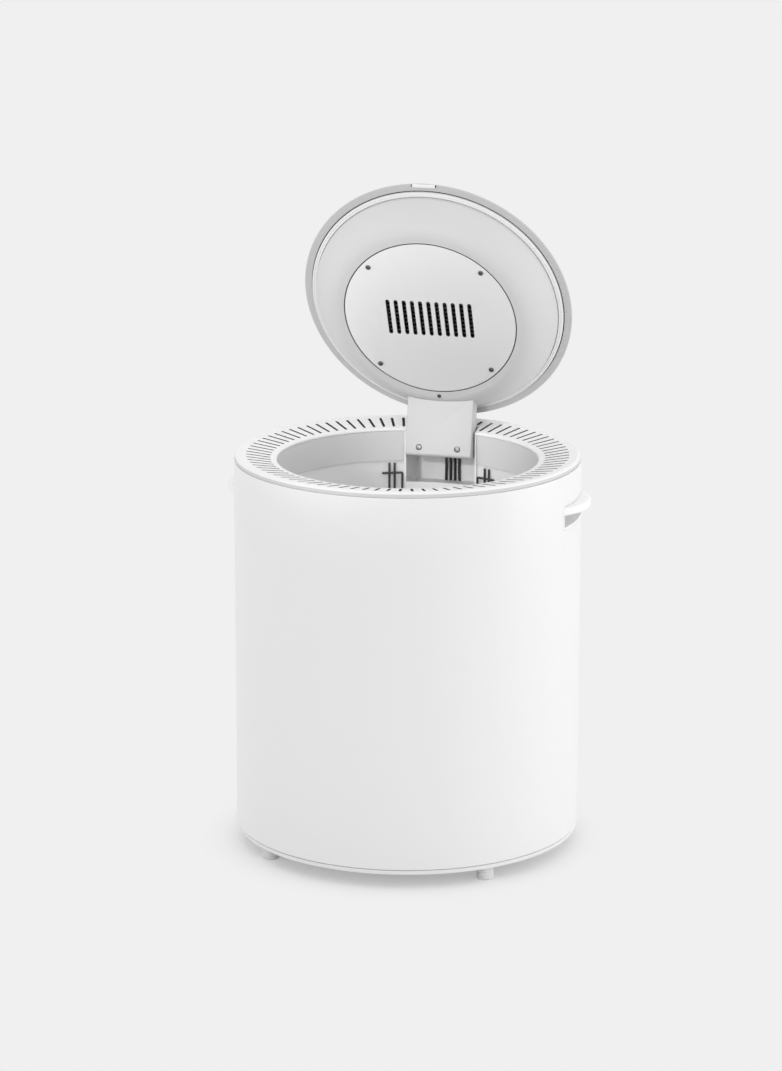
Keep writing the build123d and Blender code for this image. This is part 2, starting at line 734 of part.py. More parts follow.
# Lid liner: the lid's underside, a rounded plug with the air opening, its flange clamped over the rim
flange_level = rim_thickness / 2 + seat_gap
liner_edge = cover_radius - flank_wall - flank * liner_wall - seat_gap
with BuildPart() as lid_liner:
    with BuildSketch(lid_section) as liner_section:
        with BuildLine():
            Polyline(
                (air_opening, -plate_drop),
                (plug_flat_radius, -plate_drop),
                (plug_radius, -plug_drop),
                (plug_radius, -gasket_seat),
                (gasket_outer, -gasket_seat),
                (gasket_outer, flange_level),
                (liner_edge, flange_level),
                (liner_edge, flange_level + liner_wall),
                (plug_radius - liner_wall, flange_level + liner_wall),
                (plug_radius - liner_wall, -plug_drop + liner_wall / 2),
                (plug_flat_radius - liner_wall / 2, -plate_drop + plate_wall + liner_wall),
                (air_opening, -plate_drop + plate_wall + liner_wall),
                close=True,
            )
        make_face()
        low_corner = liner_section.vertices().group_by(Axis.Y)[0].sort_by(Axis.X)[-1]
        fillet(low_corner, plug_corner)
    revolve(axis=lid_axis)
    with BuildSketch(lid_level(-plate_drop)):
        Circle(plate_radius + plate_gap)
    extrude(amount=plate_wall, mode=Mode.SUBTRACT)
    with BuildSketch(lid_level(-plate_drop)):
        with GridLocations(plate_screw_span, plate_screw_span, 2, 2):
            Circle(plate_screw_radius + running_gap)
    extrude(amount=plate_screw_depth + liner_wall, mode=Mode.SUBTRACT)
lid_liner.part.label = "lid_liner"
export_step(lid_liner.part, "parts/lid_liner.step")

with BuildPart() as lid_gasket:
    with BuildSketch(lid_section) as gasket_section:
        with Locations((plug_radius + seat_gap, gasket_bottom)):
            Rectangle(gasket_width, -gasket_seat - gasket_bottom, align=(Align.MIN, Align.MIN))
        fillet(gasket_section.vertices().group_by(Axis.Y)[0], gasket_width / 3)
    revolve(axis=lid_axis)
lid_gasket.part.label = "lid_gasket"
export_step(lid_gasket.part, "parts/lid_gasket.step")

# Vent plate: the brushed disc with its row of slots, held by four screws
with BuildPart() as vent_plate:
    with BuildSketch(lid_level(-plate_drop)):
        Circle(plate_radius)
        with GridLocations(plate_slot_pitch, plate_slot_length, plate_slots, 1):
            SlotOverall(plate_slot_length, plate_slot_width, rotation=90, mode=Mode.SUBTRACT)
        with GridLocations(plate_screw_span, plate_screw_span, 2, 2):
            Circle(plate_screw_radius + running_gap, mode=Mode.SUBTRACT)
    extrude(amount=plate_wall)
vent_plate.part.label = "vent_plate"
export_step(vent_plate.part, "parts/vent_plate.step")

with BuildPart() as plate_screws:
    with BuildSketch(lid_level(-plate_drop)):
        with GridLocations(plate_screw_span, plate_screw_span, 2, 2):
            Circle(plate_screw_head)
    extrude(amount=-plate_screw_head_height)
    fillet(plate_screws.edges().filter_by(GeomType.CIRCLE).group_by(lid_axis)[0], plate_screw_head_height / 2)
    with BuildSketch(lid_level(-plate_drop)):
        with GridLocations(plate_screw_span, plate_screw_span, 2, 2):
            Circle(plate_screw_radius)
    extrude(amount=plate_screw_depth)
plate_screws.part.label = "plate_screws"
export_step(plate_screws.part, "parts/plate_screws.step")

# The catch at the lid's front edge
with BuildPart() as lid_catch:
    with BuildSketch(lid_level(-rim_thickness / 2)) as catch_outline:
        with Locations((0, -(lid_radius - rim_edge))):
            Rectangle(catch_width, catch_depth, align=(Align.CENTER, Align.MIN))
        fillet(catch_outline.vertices().group_by(Axis.Y)[-1], catch_drop)
    extrude(amount=-catch_drop)
lid_catch.part.label = "lid_catch"
export_step(lid_catch.part, "parts/lid_catch.step")

# Arm: a white hood over a steel bracket, from the lid's plug down and back to the pin
lean = radians(arm_face_lean)
along = (-cos(lean), sin(lean))
inward = (sin(lean), cos(lean))
toe = (hinge_reach - arm_toe_inset, -arm_toe_drop)


def on_arm(length, depth):
    """A point of the arm's side view: so far up its face from the toe, and so far in from the face."""
    return (
        toe[0] + along[0] * length + inward[0] * depth,
        toe[1] + along[1] * length + inward[1] * depth,
    )


pivot = (hinge_reach, -hinge_drop)
arm_half = arm_width / 2
bracket_half = bracket_width / 2


# The outside of the lid's plug, with its seating gap, which the arm's pieces are cut to
with BuildPart() as plug_shape:
    with BuildSketch(lid_section) as plug_section:
        with BuildLine():
            Polyline(
                (0, -plate_drop - seat_gap),
                (plug_flat_radius, -plate_drop - seat_gap),
                (plug_radius + seat_gap, -plug_drop),
                (plug_radius + seat_gap, gasket_bottom - seat_gap),
                (lid_radius + seat_gap, gasket_bottom - seat_gap),
                (lid_radius + seat_gap, lid_depth),
                (0, lid_depth),
                close=True,
            )
        make_face()
        fillet(plug_section.vertices().group_by(Axis.Y)[0].sort_by(Axis.X)[-1], plug_corner)
    revolve(axis=lid_axis)

with BuildPart() as arm_hood:
    with BuildSketch(lid_side) as hood_outline:
        with BuildLine():
            Polyline(
                on_arm(arm_face_length + arm_root, 0),
                on_arm(0, 0),
                on_arm(0, arm_depth),
                (pivot[0] + knuckle_radius, pivot[1] - knuckle_radius / 2),
                (pivot[0] + knuckle_radius, pivot[1]),
                (pivot[0] + knuckle_radius / 2, pivot[1] + knuckle_radius),
                (pivot[0] - knuckle_radius, pivot[1] + knuckle_radius),
                on_arm(arm_face_length / 2, arm_depth),
                on_arm(arm_face_length + arm_root, arm_depth),
                close=True,
            )
        make_face()
        fillet(hood_outline.vertices().sort_by(Axis.Y)[0], arm_edge)
    extrude(amount=arm_half, both=True)
    with BuildSketch(lid_side) as hood_space:
        with BuildLine():
            Polyline(
                on_arm(arm_face_length + arm_root + overrun, arm_wall),
                on_arm(arm_wall, arm_wall),
                on_arm(arm_wall, 3 * arm_depth),
                on_arm(arm_face_length + arm_root + overrun, 3 * arm_depth),
                close=True,
            )
        make_face()
    extrude(amount=arm_half - arm_wall, both=True, mode=Mode.SUBTRACT)
    add(plug_shape.part, mode=Mode.SUBTRACT)
    with BuildSketch(lid_side):
        with Locations(pivot):
            Circle(pin_radius + running_gap)
    extrude(amount=arm_half + overrun, both=True, mode=Mode.SUBTRACT)
    hood_face = Plane(
        origin=lid_side.from_local_coords((*on_arm(0, 0), 0)),
        x_dir=lid_plane.x_dir,
        z_dir=lid_plane.from_local_coords((0, -inward[0], -inward[1])) - lid_plane.origin,
    )
    with BuildSketch(hood_face.offset(overrun)):
        with Locations((0, arm_screw_rise)):
            with GridLocations(arm_screw_span, arm_wall, 2, 1):
                Circle(arm_screw_radius + running_gap)
    extrude(amount=-arm_wall - 2 * overrun, mode=Mode.SUBTRACT)
arm_hood.part.label = "arm_hood"
export_step(arm_hood.part, "parts/arm_hood.step")

with BuildPart() as hood_screws:
    with BuildSketch(hood_face):
        with Locations((0, arm_screw_rise)):
            with GridLocations(arm_screw_span, arm_wall, 2, 1):
                Circle(arm_screw_head)
    extrude(amount=arm_screw_head_height)
    with BuildSketch(hood_face):
        with Locations((0, arm_screw_rise)):
            with GridLocations(arm_screw_span, arm_wall, 2, 1):
                Circle(arm_screw_radius)
    extrude(amount=-arm_screw_depth)
hood_screws.part.label = "hood_screws"
export_step(hood_screws.part, "parts/hood_screws.step")

with BuildPart() as hinge_arm:
    with BuildSketch(lid_side) as arm_outline:
        with BuildLine():
            Polyline(
                on_arm(arm_face_length + arm_root, arm_wall + seat_gap),
                on_arm(2 * arm_wall, arm_wall + seat_gap),
                on_arm(2 * arm_wall, arm_depth),
                (pivot[0] + bush_radius, pivot[1] - bush_radius),
                (pivot[0] - bush_radius, pivot[1] + bush_radius),
                on_arm(arm_face_length / 2, arm_depth),
                on_arm(arm_face_length + arm_root, arm_depth),
                close=True,
            )
        make_face()
    extrude(amount=bracket_half, both=True)
    with BuildSketch(lid_side):
        with BuildLine():
            Polyline(
                on_arm(arm_face_length + arm_root + overrun, arm_wall + bracket_wall),
                on_arm(arm_wall, arm_wall + bracket_wall),
                on_arm(arm_wall, 3 * arm_depth),
                on_arm(arm_face_length + arm_root + overrun, 3 * arm_depth),
                close=True,
            )
        make_face()
    extrude(amount=bracket_half - bracket_wall, both=True, mode=Mode.SUBTRACT)
    with BuildSketch(lid_side):
        with Locations(pivot):
            Circle(knuckle_radius)
    extrude(amount=bracket_half, both=True)
    add(plug_shape.part, mode=Mode.SUBTRACT)
    with BuildSketch(lid_side):
        with Locations(pivot):
            Circle(bush_radius + running_gap)
    extrude(amount=bracket_half + overrun, both=True, mode=Mode.SUBTRACT)
    with BuildSketch(hood_face):
        with Locations((0, arm_screw_rise)):
            with GridLocations(arm_screw_span, arm_wall, 2, 1):
                Circle(arm_screw_radius + running_gap)
    extrude(amount=-arm_screw_depth - bracket_wall, mode=Mode.SUBTRACT)
hinge_arm.part.label = "hinge_arm"
export_step(hinge_arm.part, "parts/hinge_arm.step")

# Two flanged nylon bushes turn with the arm on the pin
with BuildPart() as hinge_bushes:
    for side in (-1, 1):
        with BuildSketch(lid_side.offset(side * bracket_half)):
            with Locations(pivot):
                Circle(knuckle_radius - seat_gap)
        extrude(amount=side * (arm_half - arm_wall - bracket_half - seat_gap))
        with BuildSketch(lid_side.offset(side * bracket_half)):
            with Locations(pivot):
                Circle(bush_radius)
        extrude(amount=-side * bush_length)
    with BuildSketch(lid_side):
        with Locations(pivot):
            Circle(pin_radius + running_gap)
    extrude(amount=arm_half + overrun, both=True, mode=Mode.SUBTRACT)
hinge_bushes.part.label = "hinge_bushes"
export_step(hinge_bushes.part, "parts/hinge_bushes.step")

# Heater tray: stands on the liner's flange over the air opening and holds the heater
tray_level = -plate_drop + plate_wall + liner_wall
thermostat_place = heater_width / 2 + thermostat_gap + thermostat_radius
with BuildPart() as heater_tray:
    with BuildSketch(lid_level(tray_level)):
        Circle(plate_radius - heater_tray_inset)
        Rectangle(heater_length + 2 * seat_gap, heater_width + 2 * seat_gap, mode=Mode.SUBTRACT)
        with Locations((0, thermostat_place)):
            Circle(thermostat_radius / 2, mode=Mode.SUBTRACT)
    extrude(amount=heater_tray_wall)
    with BuildSketch(lid_level(tray_level)):
        Circle(fan_radius + fan_case_wall)
        Circle(fan_radius, mode=Mode.SUBTRACT)
    extrude(amount=heater_height + seat_gap)
    with BuildSketch(lid_level(tray_level)):
        with GridLocations(plate_screw_span, plate_screw_span, 2, 2):
            Circle(plate_screw_head)
    extrude(amount=heater_tray_wall, mode=Mode.SUBTRACT)
heater_tray.part.label = "heater_tray"
export_step(heater_tray.part, "parts/heater_tray.step")

# Heater: a PTC block of finned rows in a frame
with BuildPart() as heater_core:
    with BuildSketch(lid_level(tray_level)):
        Rectangle(heater_length, heater_width)
        with GridLocations(heater_length, heater_width / heater_rows, 1, heater_rows):
            Rectangle(
                heater_length - 4 * heater_fin,
                heater_width / heater_rows - 2 * heater_fin,
                mode=Mode.SUBTRACT,
            )
    extrude(amount=heater_height)
heater_core.part.label = "heater_core"
export_step(heater_core.part, "parts/heater_core.step")

with BuildPart() as thermostat:
    with BuildSketch(lid_level(tray_level + heater_tray_wall)):
        with Locations((0, thermostat_place)):
            Circle(thermostat_radius)
    extrude(amount=thermostat_height)
    with BuildSketch(lid_level(tray_level + heater_tray_wall + thermostat_height)):
        with Locations((0, thermostat_place)):
            with GridLocations(thermostat_radius, thermostat_radius, 2, 1):
                Rectangle(thermostat_radius / 8, thermostat_radius / 2)
    extrude(amount=thermostat_height)
thermostat.part.label = "thermostat"
export_step(thermostat.part, "parts/thermostat.step")

# Fan case with the struts that hold the motor over the rotor
case_level = tray_level + heater_height + 2 * seat_gap
case_top = case_level + fan_case_height
with BuildPart() as fan_case:
    with BuildSketch(lid_level(case_level)):
        Circle(fan_radius + fan_case_wall)
        Circle(fan_radius, mode=Mode.SUBTRACT)
    extrude(amount=fan_case_height)
    with BuildSketch(lid_level(case_top - strut_height)):
        with PolarLocations((fan_radius + motor_radius) / 2, strut_count, start_angle=90):
            Rectangle(fan_radius - motor_radius + fan_case_wall, strut_width)
        Circle(motor_radius + fan_case_wall)
    extrude(amount=strut_height)
    with BuildSketch(lid_level(case_top - strut_height)):
        Circle(motor_radius / 2)
    extrude(amount=strut_height, mode=Mode.SUBTRACT)
fan_case.part.label = "fan_case"
export_step(fan_case.part, "parts/fan_case.step")

motor_face = case_top - strut_height
with BuildPart() as fan_motor:
    with BuildSketch(lid_level(motor_face)):
        Circle(motor_radius)
    extrude(amount=-motor_height)
    with BuildSketch(lid_level(motor_face - motor_height)):
        Circle(fan_shaft_radius)
    extrude(amount=-fan_hub_wall - seat_gap)
fan_motor.part.label = "fan_motor"
export_step(fan_motor.part, "parts/fan_motor.step")

# Fan rotor: a cup hub over the motor with twisted blades
hub_top = motor_face - seat_gap - overrun
hub_bottom = hub_top - fan_hub_height
blade_tip = fan_radius - fan_tip_gap
with BuildPart() as fan_rotor:
    for blade in range(fan_blades):
        blade_root = Plane(
            origin=lid_level(hub_bottom + fan_hub_height / 2).origin,
            x_dir=lid_plane.z_dir,
            z_dir=lid_plane.x_dir.rotate(Axis((0, 0, 0), lid_plane.z_dir), blade * 360 / fan_blades),
        )
        with BuildSketch(blade_root.offset(fan_hub_radius - fan_blade_root)):
            Rectangle(fan_root_chord, fan_blade_wall, rotation=fan_root_pitch)
        with BuildSketch(blade_root.offset(blade_tip)):
            Rectangle(fan_tip_chord, fan_blade_wall, rotation=fan_tip_pitch)
        loft(ruled=True)
    with BuildSketch(lid_level(hub_bottom)):
        Circle(fan_hub_radius)
    extrude(amount=fan_hub_height)
    with BuildSketch(lid_level(motor_face - motor_height - seat_gap)):
        Circle(motor_radius + 2 * seat_gap)
    extrude(amount=fan_hub_height, mode=Mode.SUBTRACT)
    with BuildSketch(lid_level(hub_bottom)):
        Circle(fan_shaft_radius + running_gap)
    extrude(amount=fan_hub_height, mode=Mode.SUBTRACT)
fan_rotor.part.label = "fan_rotor"
export_step(fan_rotor.part, "parts/fan_rotor.step")
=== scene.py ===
# %% [markdown]
# # A portable clothes dryer
# This lesson dresses a finished CAD model of a small round clothes dryer. The CAD model gives
# every piece its size and place. Here each visible piece gets a smooth mesh or a finish, and the
# camera and light of a product photograph.

# %% Load the CAD model
import json
import math

import bmesh
import bpy
from mathutils import Matrix, Vector


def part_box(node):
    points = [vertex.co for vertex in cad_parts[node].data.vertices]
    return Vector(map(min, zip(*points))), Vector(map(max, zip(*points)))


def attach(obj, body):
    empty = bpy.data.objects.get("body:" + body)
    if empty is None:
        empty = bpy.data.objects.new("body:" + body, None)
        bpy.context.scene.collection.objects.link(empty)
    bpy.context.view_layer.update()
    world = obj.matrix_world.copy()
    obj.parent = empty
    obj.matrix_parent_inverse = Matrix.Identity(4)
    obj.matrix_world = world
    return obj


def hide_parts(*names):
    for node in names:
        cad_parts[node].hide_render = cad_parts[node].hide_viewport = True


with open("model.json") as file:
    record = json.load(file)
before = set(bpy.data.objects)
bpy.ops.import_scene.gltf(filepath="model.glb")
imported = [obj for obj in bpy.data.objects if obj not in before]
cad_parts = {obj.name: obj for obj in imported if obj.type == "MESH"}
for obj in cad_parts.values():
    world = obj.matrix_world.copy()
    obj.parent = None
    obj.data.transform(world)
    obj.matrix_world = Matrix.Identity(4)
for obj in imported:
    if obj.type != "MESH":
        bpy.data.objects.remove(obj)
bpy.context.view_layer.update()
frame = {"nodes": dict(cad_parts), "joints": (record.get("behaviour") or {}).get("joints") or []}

MM = 0.001

# %% [markdown]
# ## The camera
# A camera's place and lens decide how a round object reads: the rims' ellipses get flatter as
# the camera drops. This camera was fitted to the rims and the shell's straight sides, and its
# lens is long, as product photographs are taken from several metres away.

# %% Camera
CAMERA_SIDE = 15.79
CAMERA_RISE = 14.36
CAMERA_DISTANCE = 4235.4 * MM
CAMERA_SHIFT = -18.21 * MM
TARGET_HEIGHT = 327.8 * MM
FOCAL_PIXELS = 3856.5
PHOTO_HEIGHT_PIXELS = 1071
FILM_HEIGHT = 36.0
QUARTER_TURN = 90


def direction(side, rise):
    """The way to something this many degrees to the right of the front, and above the floor."""
    side, rise = math.radians(side), math.radians(rise)
    return Vector((math.sin(side) * math.cos(rise), -math.cos(side) * math.cos(rise), math.sin(rise)))


def on_set(name, data, finish=None):
    """A new object in the scene for a mesh, curve, camera or lamp, and its finish if it has one."""
    made = bpy.data.objects.new(name, data)
    if finish:
        data.materials.append(FINISH[finish])
    bpy.context.scene.collection.objects.link(made)
    return made


def aimed(name, data, target, toward, distance):
    """Adds a camera or lamp that looks at a target from a direction and a distance."""
    made = on_set(name, data)
    made.location = target + toward * distance
    made.rotation_euler = (-toward).to_track_quat("-Z", "Y").to_euler()
    return made


camera_data = bpy.data.cameras.new("product_camera")
camera_data.sensor_fit = "VERTICAL"
camera_data.sensor_height = FILM_HEIGHT
camera_data.lens = FOCAL_PIXELS / PHOTO_HEIGHT_PIXELS * FILM_HEIGHT
camera_shift = direction(CAMERA_SIDE + QUARTER_TURN, 0) * CAMERA_SHIFT
camera_target = Vector((0, 0, TARGET_HEIGHT)) + camera_shift
outward = direction(CAMERA_SIDE, CAMERA_RISE)
camera = aimed("product_camera", camera_data, camera_target, outward, CAMERA_DISTANCE)
bpy.context.scene.camera = camera
print("camera at", [round(v, 4) for v in camera.location], "lens", round(camera_data.lens, 2))

# %% [markdown]
# ## Background and floor
# The set is a pale sweep. The floor keeps the object's shadow close by and fades into the
# plain backdrop tone further out, so no horizon shows. It glows a little close by too, which
# keeps the shadow faint. Camera, glossy and transmitted rays see the backdrop's tone, and all
# other rays get a soft white sky.

# %% Backdrop and floor
BACKDROP_TONE = 0.871
SKY_STRENGTH = 0.92
FLOOR_TONE = 0.9
FLOOR_SIZE = 40.0
FADE_START = 0.14
FADE_END = 0.24
NEAR_GLOW = 0.35
ALONG_FLOOR = (1, 1, 0)


def grey(level):
    """An even grey of this linear level, as a colour with its alpha."""
    return (level, level, level, 1)


def feed(tree, sockets, sources):
    """Gives input sockets their values; one that is fed by another socket is linked to it."""
    for label, source in sources.items():
        if hasattr(source, "is_linked"):
            tree.links.new(source, sockets[label])
        else:
            sockets[label].default_value = source


def node(tree, kind, sources=None, **settings):
    """A shader or geometry node with its settings and what feeds its inputs."""
    made = tree.nodes.new(kind)
    for key, value in settings.items():
        setattr(made, key, value)
    feed(tree, made.inputs, sources or {})
    return made


def calculated(tree, operation, *terms):
    """The result of a math node on sockets and numbers."""
    return node(tree, "ShaderNodeMath", dict(enumerate(terms)), operation=operation).outputs[0]


def seen_ray(tree):
    """1 for rays that show the backdrop: camera, glossy and transmitted ones."""
    rays = node(tree, "ShaderNodeLightPath").outputs
    direct = calculated(tree, "MAXIMUM", rays["Is Camera Ray"], rays["Is Glossy Ray"])
    return calculated(tree, "MAXIMUM", direct, rays["Is Transmission Ray"])


def mixed(tree, share, first, second, end_kind):
    """Ends a tree with a mix of two shaders."""
    sources = {0: share, 1: first.outputs[0], 2: second.outputs[0]}
    mix = node(tree, "ShaderNodeMixShader", sources)
    node(tree, end_kind, {"Surface": mix.outputs[0]})


world = bpy.data.worlds.new("pale_studio")
world.use_nodes = True
bpy.context.scene.world = world
sky = world.node_tree
sky.nodes.clear()
sky_light = node(sky, "ShaderNodeBackground", {"Color": grey(1), "Strength": SKY_STRENGTH})
sky_seen = node(sky, "ShaderNodeBackground", {"Color": grey(BACKDROP_TONE)})
mixed(sky, seen_ray(sky), sky_light, sky_seen, "ShaderNodeOutputWorld")

sweep = bpy.data.materials.new("pale_sweep")
sweep.use_nodes = True
tree = sweep.node_tree
tree.nodes.clear()
place = node(tree, "ShaderNodeTexCoord").outputs["Object"]
flat_place = node(tree, "ShaderNodeVectorMath", {0: place, 1: ALONG_FLOOR}, operation="MULTIPLY")
reach = node(tree, "ShaderNodeVectorMath", {0: flat_place.outputs[0]}, operation="LENGTH")
fade_range = {"Value": reach.outputs["Value"], "From Min": FADE_START, "From Max": FADE_END}
fade = node(tree, "ShaderNodeMapRange", fade_range, interpolation_type="SMOOTHSTEP")
glow_share = calculated(tree, "MAXIMUM", fade.outputs["Result"], NEAR_GLOW)
glow_seen = calculated(tree, "MULTIPLY", glow_share, seen_ray(tree))
paper = node(tree, "ShaderNodeBsdfDiffuse", {"Color": grey(FLOOR_TONE)})
glow = node(tree, "ShaderNodeEmission", {"Color": grey(BACKDROP_TONE)})
mixed(tree, glow_seen, paper, glow, "ShaderNodeOutputMaterial")

floor_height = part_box("foot_pads")[0][2]
half = FLOOR_SIZE / 2
corners = [(-half, -half), (half, -half), (half, half), (-half, half)]
floor_mesh = bpy.data.meshes.new("floor")
floor_mesh.from_pydata([(x, y, floor_height) for x, y in corners], [], [(0, 1, 2, 3)])
floor_mesh.materials.append(sweep)
floor = on_set("floor", floor_mesh)
bpy.context.scene.view_settings.view_transform = "Standard"
print("floor at", round(floor_height, 4), "m")

# %% [markdown]
# ## Lamps
# The white sky does most of the lighting, which keeps shadows faint. A large soft lamp on the
# right lifts the right half of the shell to near white, and one above the back brightens the ring.
# Narrow lamps from the front reach only the lid's underside, the drum's mouth and the hinge well,
# which the sky alone would leave dim. Sides and rises are in degrees, sizes in metres and powers
# in watts.

# %% Lamps
MODEL_MIDDLE = Vector((0, 0, 330 * MM))
SPOT_SOFTNESS = 70 * MM
SPOT_BLEND = 0.25
MOUTH_OFFSET = Vector((50 * MM, 0, 0))


def middle_of(name):
    """The middle of a CAD piece's box."""
    low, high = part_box(name)
    return (Vector(low) + Vector(high)) / 2


def lamp_data(name, kind, power):
    """A lamp's data with its power."""
    data = bpy.data.lights.new(name, kind)
    data.energy = power
    return data


def soft_lamp(name, side, rise, distance, size, power):
    """A square area lamp aimed at the model's middle."""
    data = lamp_data(name, "AREA", power)
    data.shape = "SQUARE"
    data.size = size
    aimed(name, data, MODEL_MIDDLE, direction(side, rise), distance)


def narrow_lamp(name, target, side, rise, distance, reach, power):
    """A soft-edged spot lamp that lights only a disc of this reach round a target."""
    data = lamp_data(name, "SPOT", power)
    data.shadow_soft_size = SPOT_SOFTNESS
    data.spot_size = 2 * math.atan(reach / distance)
    data.spot_blend = SPOT_BLEND
    aimed(name, data, target, direction(side, rise), distance)


lid_middle = middle_of("vent_plate")
well_middle = middle_of("hinge_well")
mouth_right = well_middle + MOUTH_OFFSET
soft_lamp("side_lamp", side=104, rise=8, distance=2.8, size=2.4, power=22)
soft_lamp("top_lamp", side=200, rise=68, distance=2.4, size=1.4, power=3)
narrow_lamp("lid_lamp", lid_middle, side=-6, rise=9, distance=3.0, reach=0.22, power=48)
narrow_lamp("mouth_lamp", mouth_right, side=-42, rise=36, distance=2.6, reach=0.14, power=45)
narrow_lamp("well_lamp", well_middle, side=-8, rise=20, distance=2.6, reach=0.06, power=100)
print("lamps:", len(bpy.data.lights))

# %% [markdown]
# ## Effects that several finishes share
# Moulded plastic is never quite even: its tone drifts over a hand's width, and its skin has a
# fine orange peel that breaks up highlights. Rolled steel has long fine scratches. Both are
# shader node groups, so each finish sets its own strength.

# %% Shader groups
COLOUR = "NodeSocketColor"
NUMBER = "NodeSocketFloat"
VECTOR = "NodeSocketVector"
PATCH_SCALE = 9.0
SMEAR_SCALE = 26.0
SHEET_PATCH_SCALE = 14.0
COARSE_DETAIL = 2.0
FINE_DETAIL = 3.0
SMEAR_DETAIL = 4.0


def shader_group(name, inputs):
    """A finish group with named inputs, and the sockets that give them."""
    group = bpy.data.node_groups.new(name, "ShaderNodeTree")
    for label, (kind, value) in inputs.items():
        socket = group.interface.new_socket(label, in_out="INPUT", socket_type=kind)
        socket.default_value = value
    for label, kind in (("Colour", COLOUR), ("Roughness", NUMBER), ("Height", NUMBER)):
        group.interface.new_socket(label, in_out="OUTPUT", socket_type=kind)
    return group, node(group, "NodeGroupInput").outputs


def scaled_noise(tree, vector, scale, detail):
    """A noise texture on a vector; scale is a socket or a number."""
    sources = {"Vector": vector, "Scale": scale, "Detail": detail}
    return node(tree, "ShaderNodeTexNoise", sources).outputs["Fac"]


def around_middle(tree, value, amount):
    """1 plus (value - 0.5) times amount."""
    return calculated(tree, "MULTIPLY_ADD", calculated(tree, "SUBTRACT", value, 0.5), amount, 1.0)


def drifting(group, start, tone_noise, rough_noise, height):
    """Ends a finish group: colour and roughness each drift with a noise, and the height goes on."""
    tone = around_middle(group, tone_noise, start["Tone Drift"])
    toned = node(group, "ShaderNodeVectorMath", {0: start["Colour"], "Scale": tone}, operation="SCALE")
    smear = around_middle(group, rough_noise, start["Roughness Drift"])
    rough = calculated(group, "MULTIPLY", start["Roughness"], smear)
    ends = {"Colour": toned.outputs[0], "Roughness": rough, "Height": height}
    node(group, "NodeGroupOutput", ends)


def moulded_skin_group():
    """Tone drift, roughness drift and orange peel of moulded plastic."""
    group, start = shader_group("moulded_skin", {
        "Colour": (COLOUR, grey(0.8)),
        "Tone Drift": (NUMBER, 0.04),
        "Roughness": (NUMBER, 0.35),
        "Roughness Drift": (NUMBER, 0.25),
        "Peel Scale": (NUMBER, 900.0),
    })
    where = node(group, "ShaderNodeTexCoord").outputs["Object"]
    patches = scaled_noise(group, where, PATCH_SCALE, COARSE_DETAIL)
    smears = scaled_noise(group, where, SMEAR_SCALE, SMEAR_DETAIL)
    peel = scaled_noise(group, where, start["Peel Scale"], FINE_DETAIL)
    drifting(group, start, patches, smears, peel)
    return group


def rolled_steel_group():
    """Long fine scratches of rolled or brushed sheet, with a slow change of tone."""
    group, start = shader_group("rolled_steel", {
        "Colour": (COLOUR, grey(0.7)),
        "Tone Drift": (NUMBER, 0.1),
        "Roughness": (NUMBER, 0.3),
        "Roughness Drift": (NUMBER, 0.5),
        "Grain": (VECTOR, (60.0, 2500.0, 60.0)),
    })
    where = node(group, "ShaderNodeTexCoord").outputs["Object"]
    sources = {0: where, 1: start["Grain"]}
    stretched = node(group, "ShaderNodeVectorMath", sources, operation="MULTIPLY")
    grain = scaled_noise(group, stretched.outputs[0], 1.0, FINE_DETAIL)
    slow = scaled_noise(group, where, SHEET_PATCH_SCALE, COARSE_DETAIL)
    both = calculated(group, "MULTIPLY", calculated(group, "ADD", grain, slow), 0.5)
    drifting(group, start, both, grain, grain)
    return group


MOULDED_SKIN = moulded_skin_group()
ROLLED_STEEL = rolled_steel_group()
print("shader groups:", MOULDED_SKIN.name, ROLLED_STEEL.name)

# %% [markdown]
# ## Finishes
# Each material is a Principled shader fed by one of the groups. Values that are the same all
# over, such as a clear coat, sit on the shader itself. The two tables give the finishes: greys
# are linear levels, and reliefs are in micrometres.

# %% Materials
MICRON = 1e-6
COAT_ROUGHNESS = 0.12
BOARD_GREEN = (0.03, 0.16, 0.07, 1)


def finish_material(name, group, colour, roughness, drift, relief, metallic=0.0, coat=0.0, grain=None):
    """A Principled material whose colour, roughness and bump come from a shared group."""
    material = bpy.data.materials.new(name)
    material.use_nodes = True
    tree = material.node_tree
    sources = {"Colour": colour, "Roughness": roughness, "Tone Drift": drift}
    if grain:
        sources["Grain"] = grain
    effect = node(tree, "ShaderNodeGroup", sources, node_tree=group).outputs
    bumps = {"Strength": 1.0, "Distance": relief * MICRON, "Height": effect["Height"]}
    feed(tree, tree.nodes["Principled BSDF"].inputs, {
        "Base Color": effect["Colour"],
        "Roughness": effect["Roughness"],
        "Normal": node(tree, "ShaderNodeBump", bumps).outputs["Normal"],
        "Metallic": metallic,
        "Coat Weight": coat,
        "Coat Roughness": COAT_ROUGHNESS,
    })
    return material


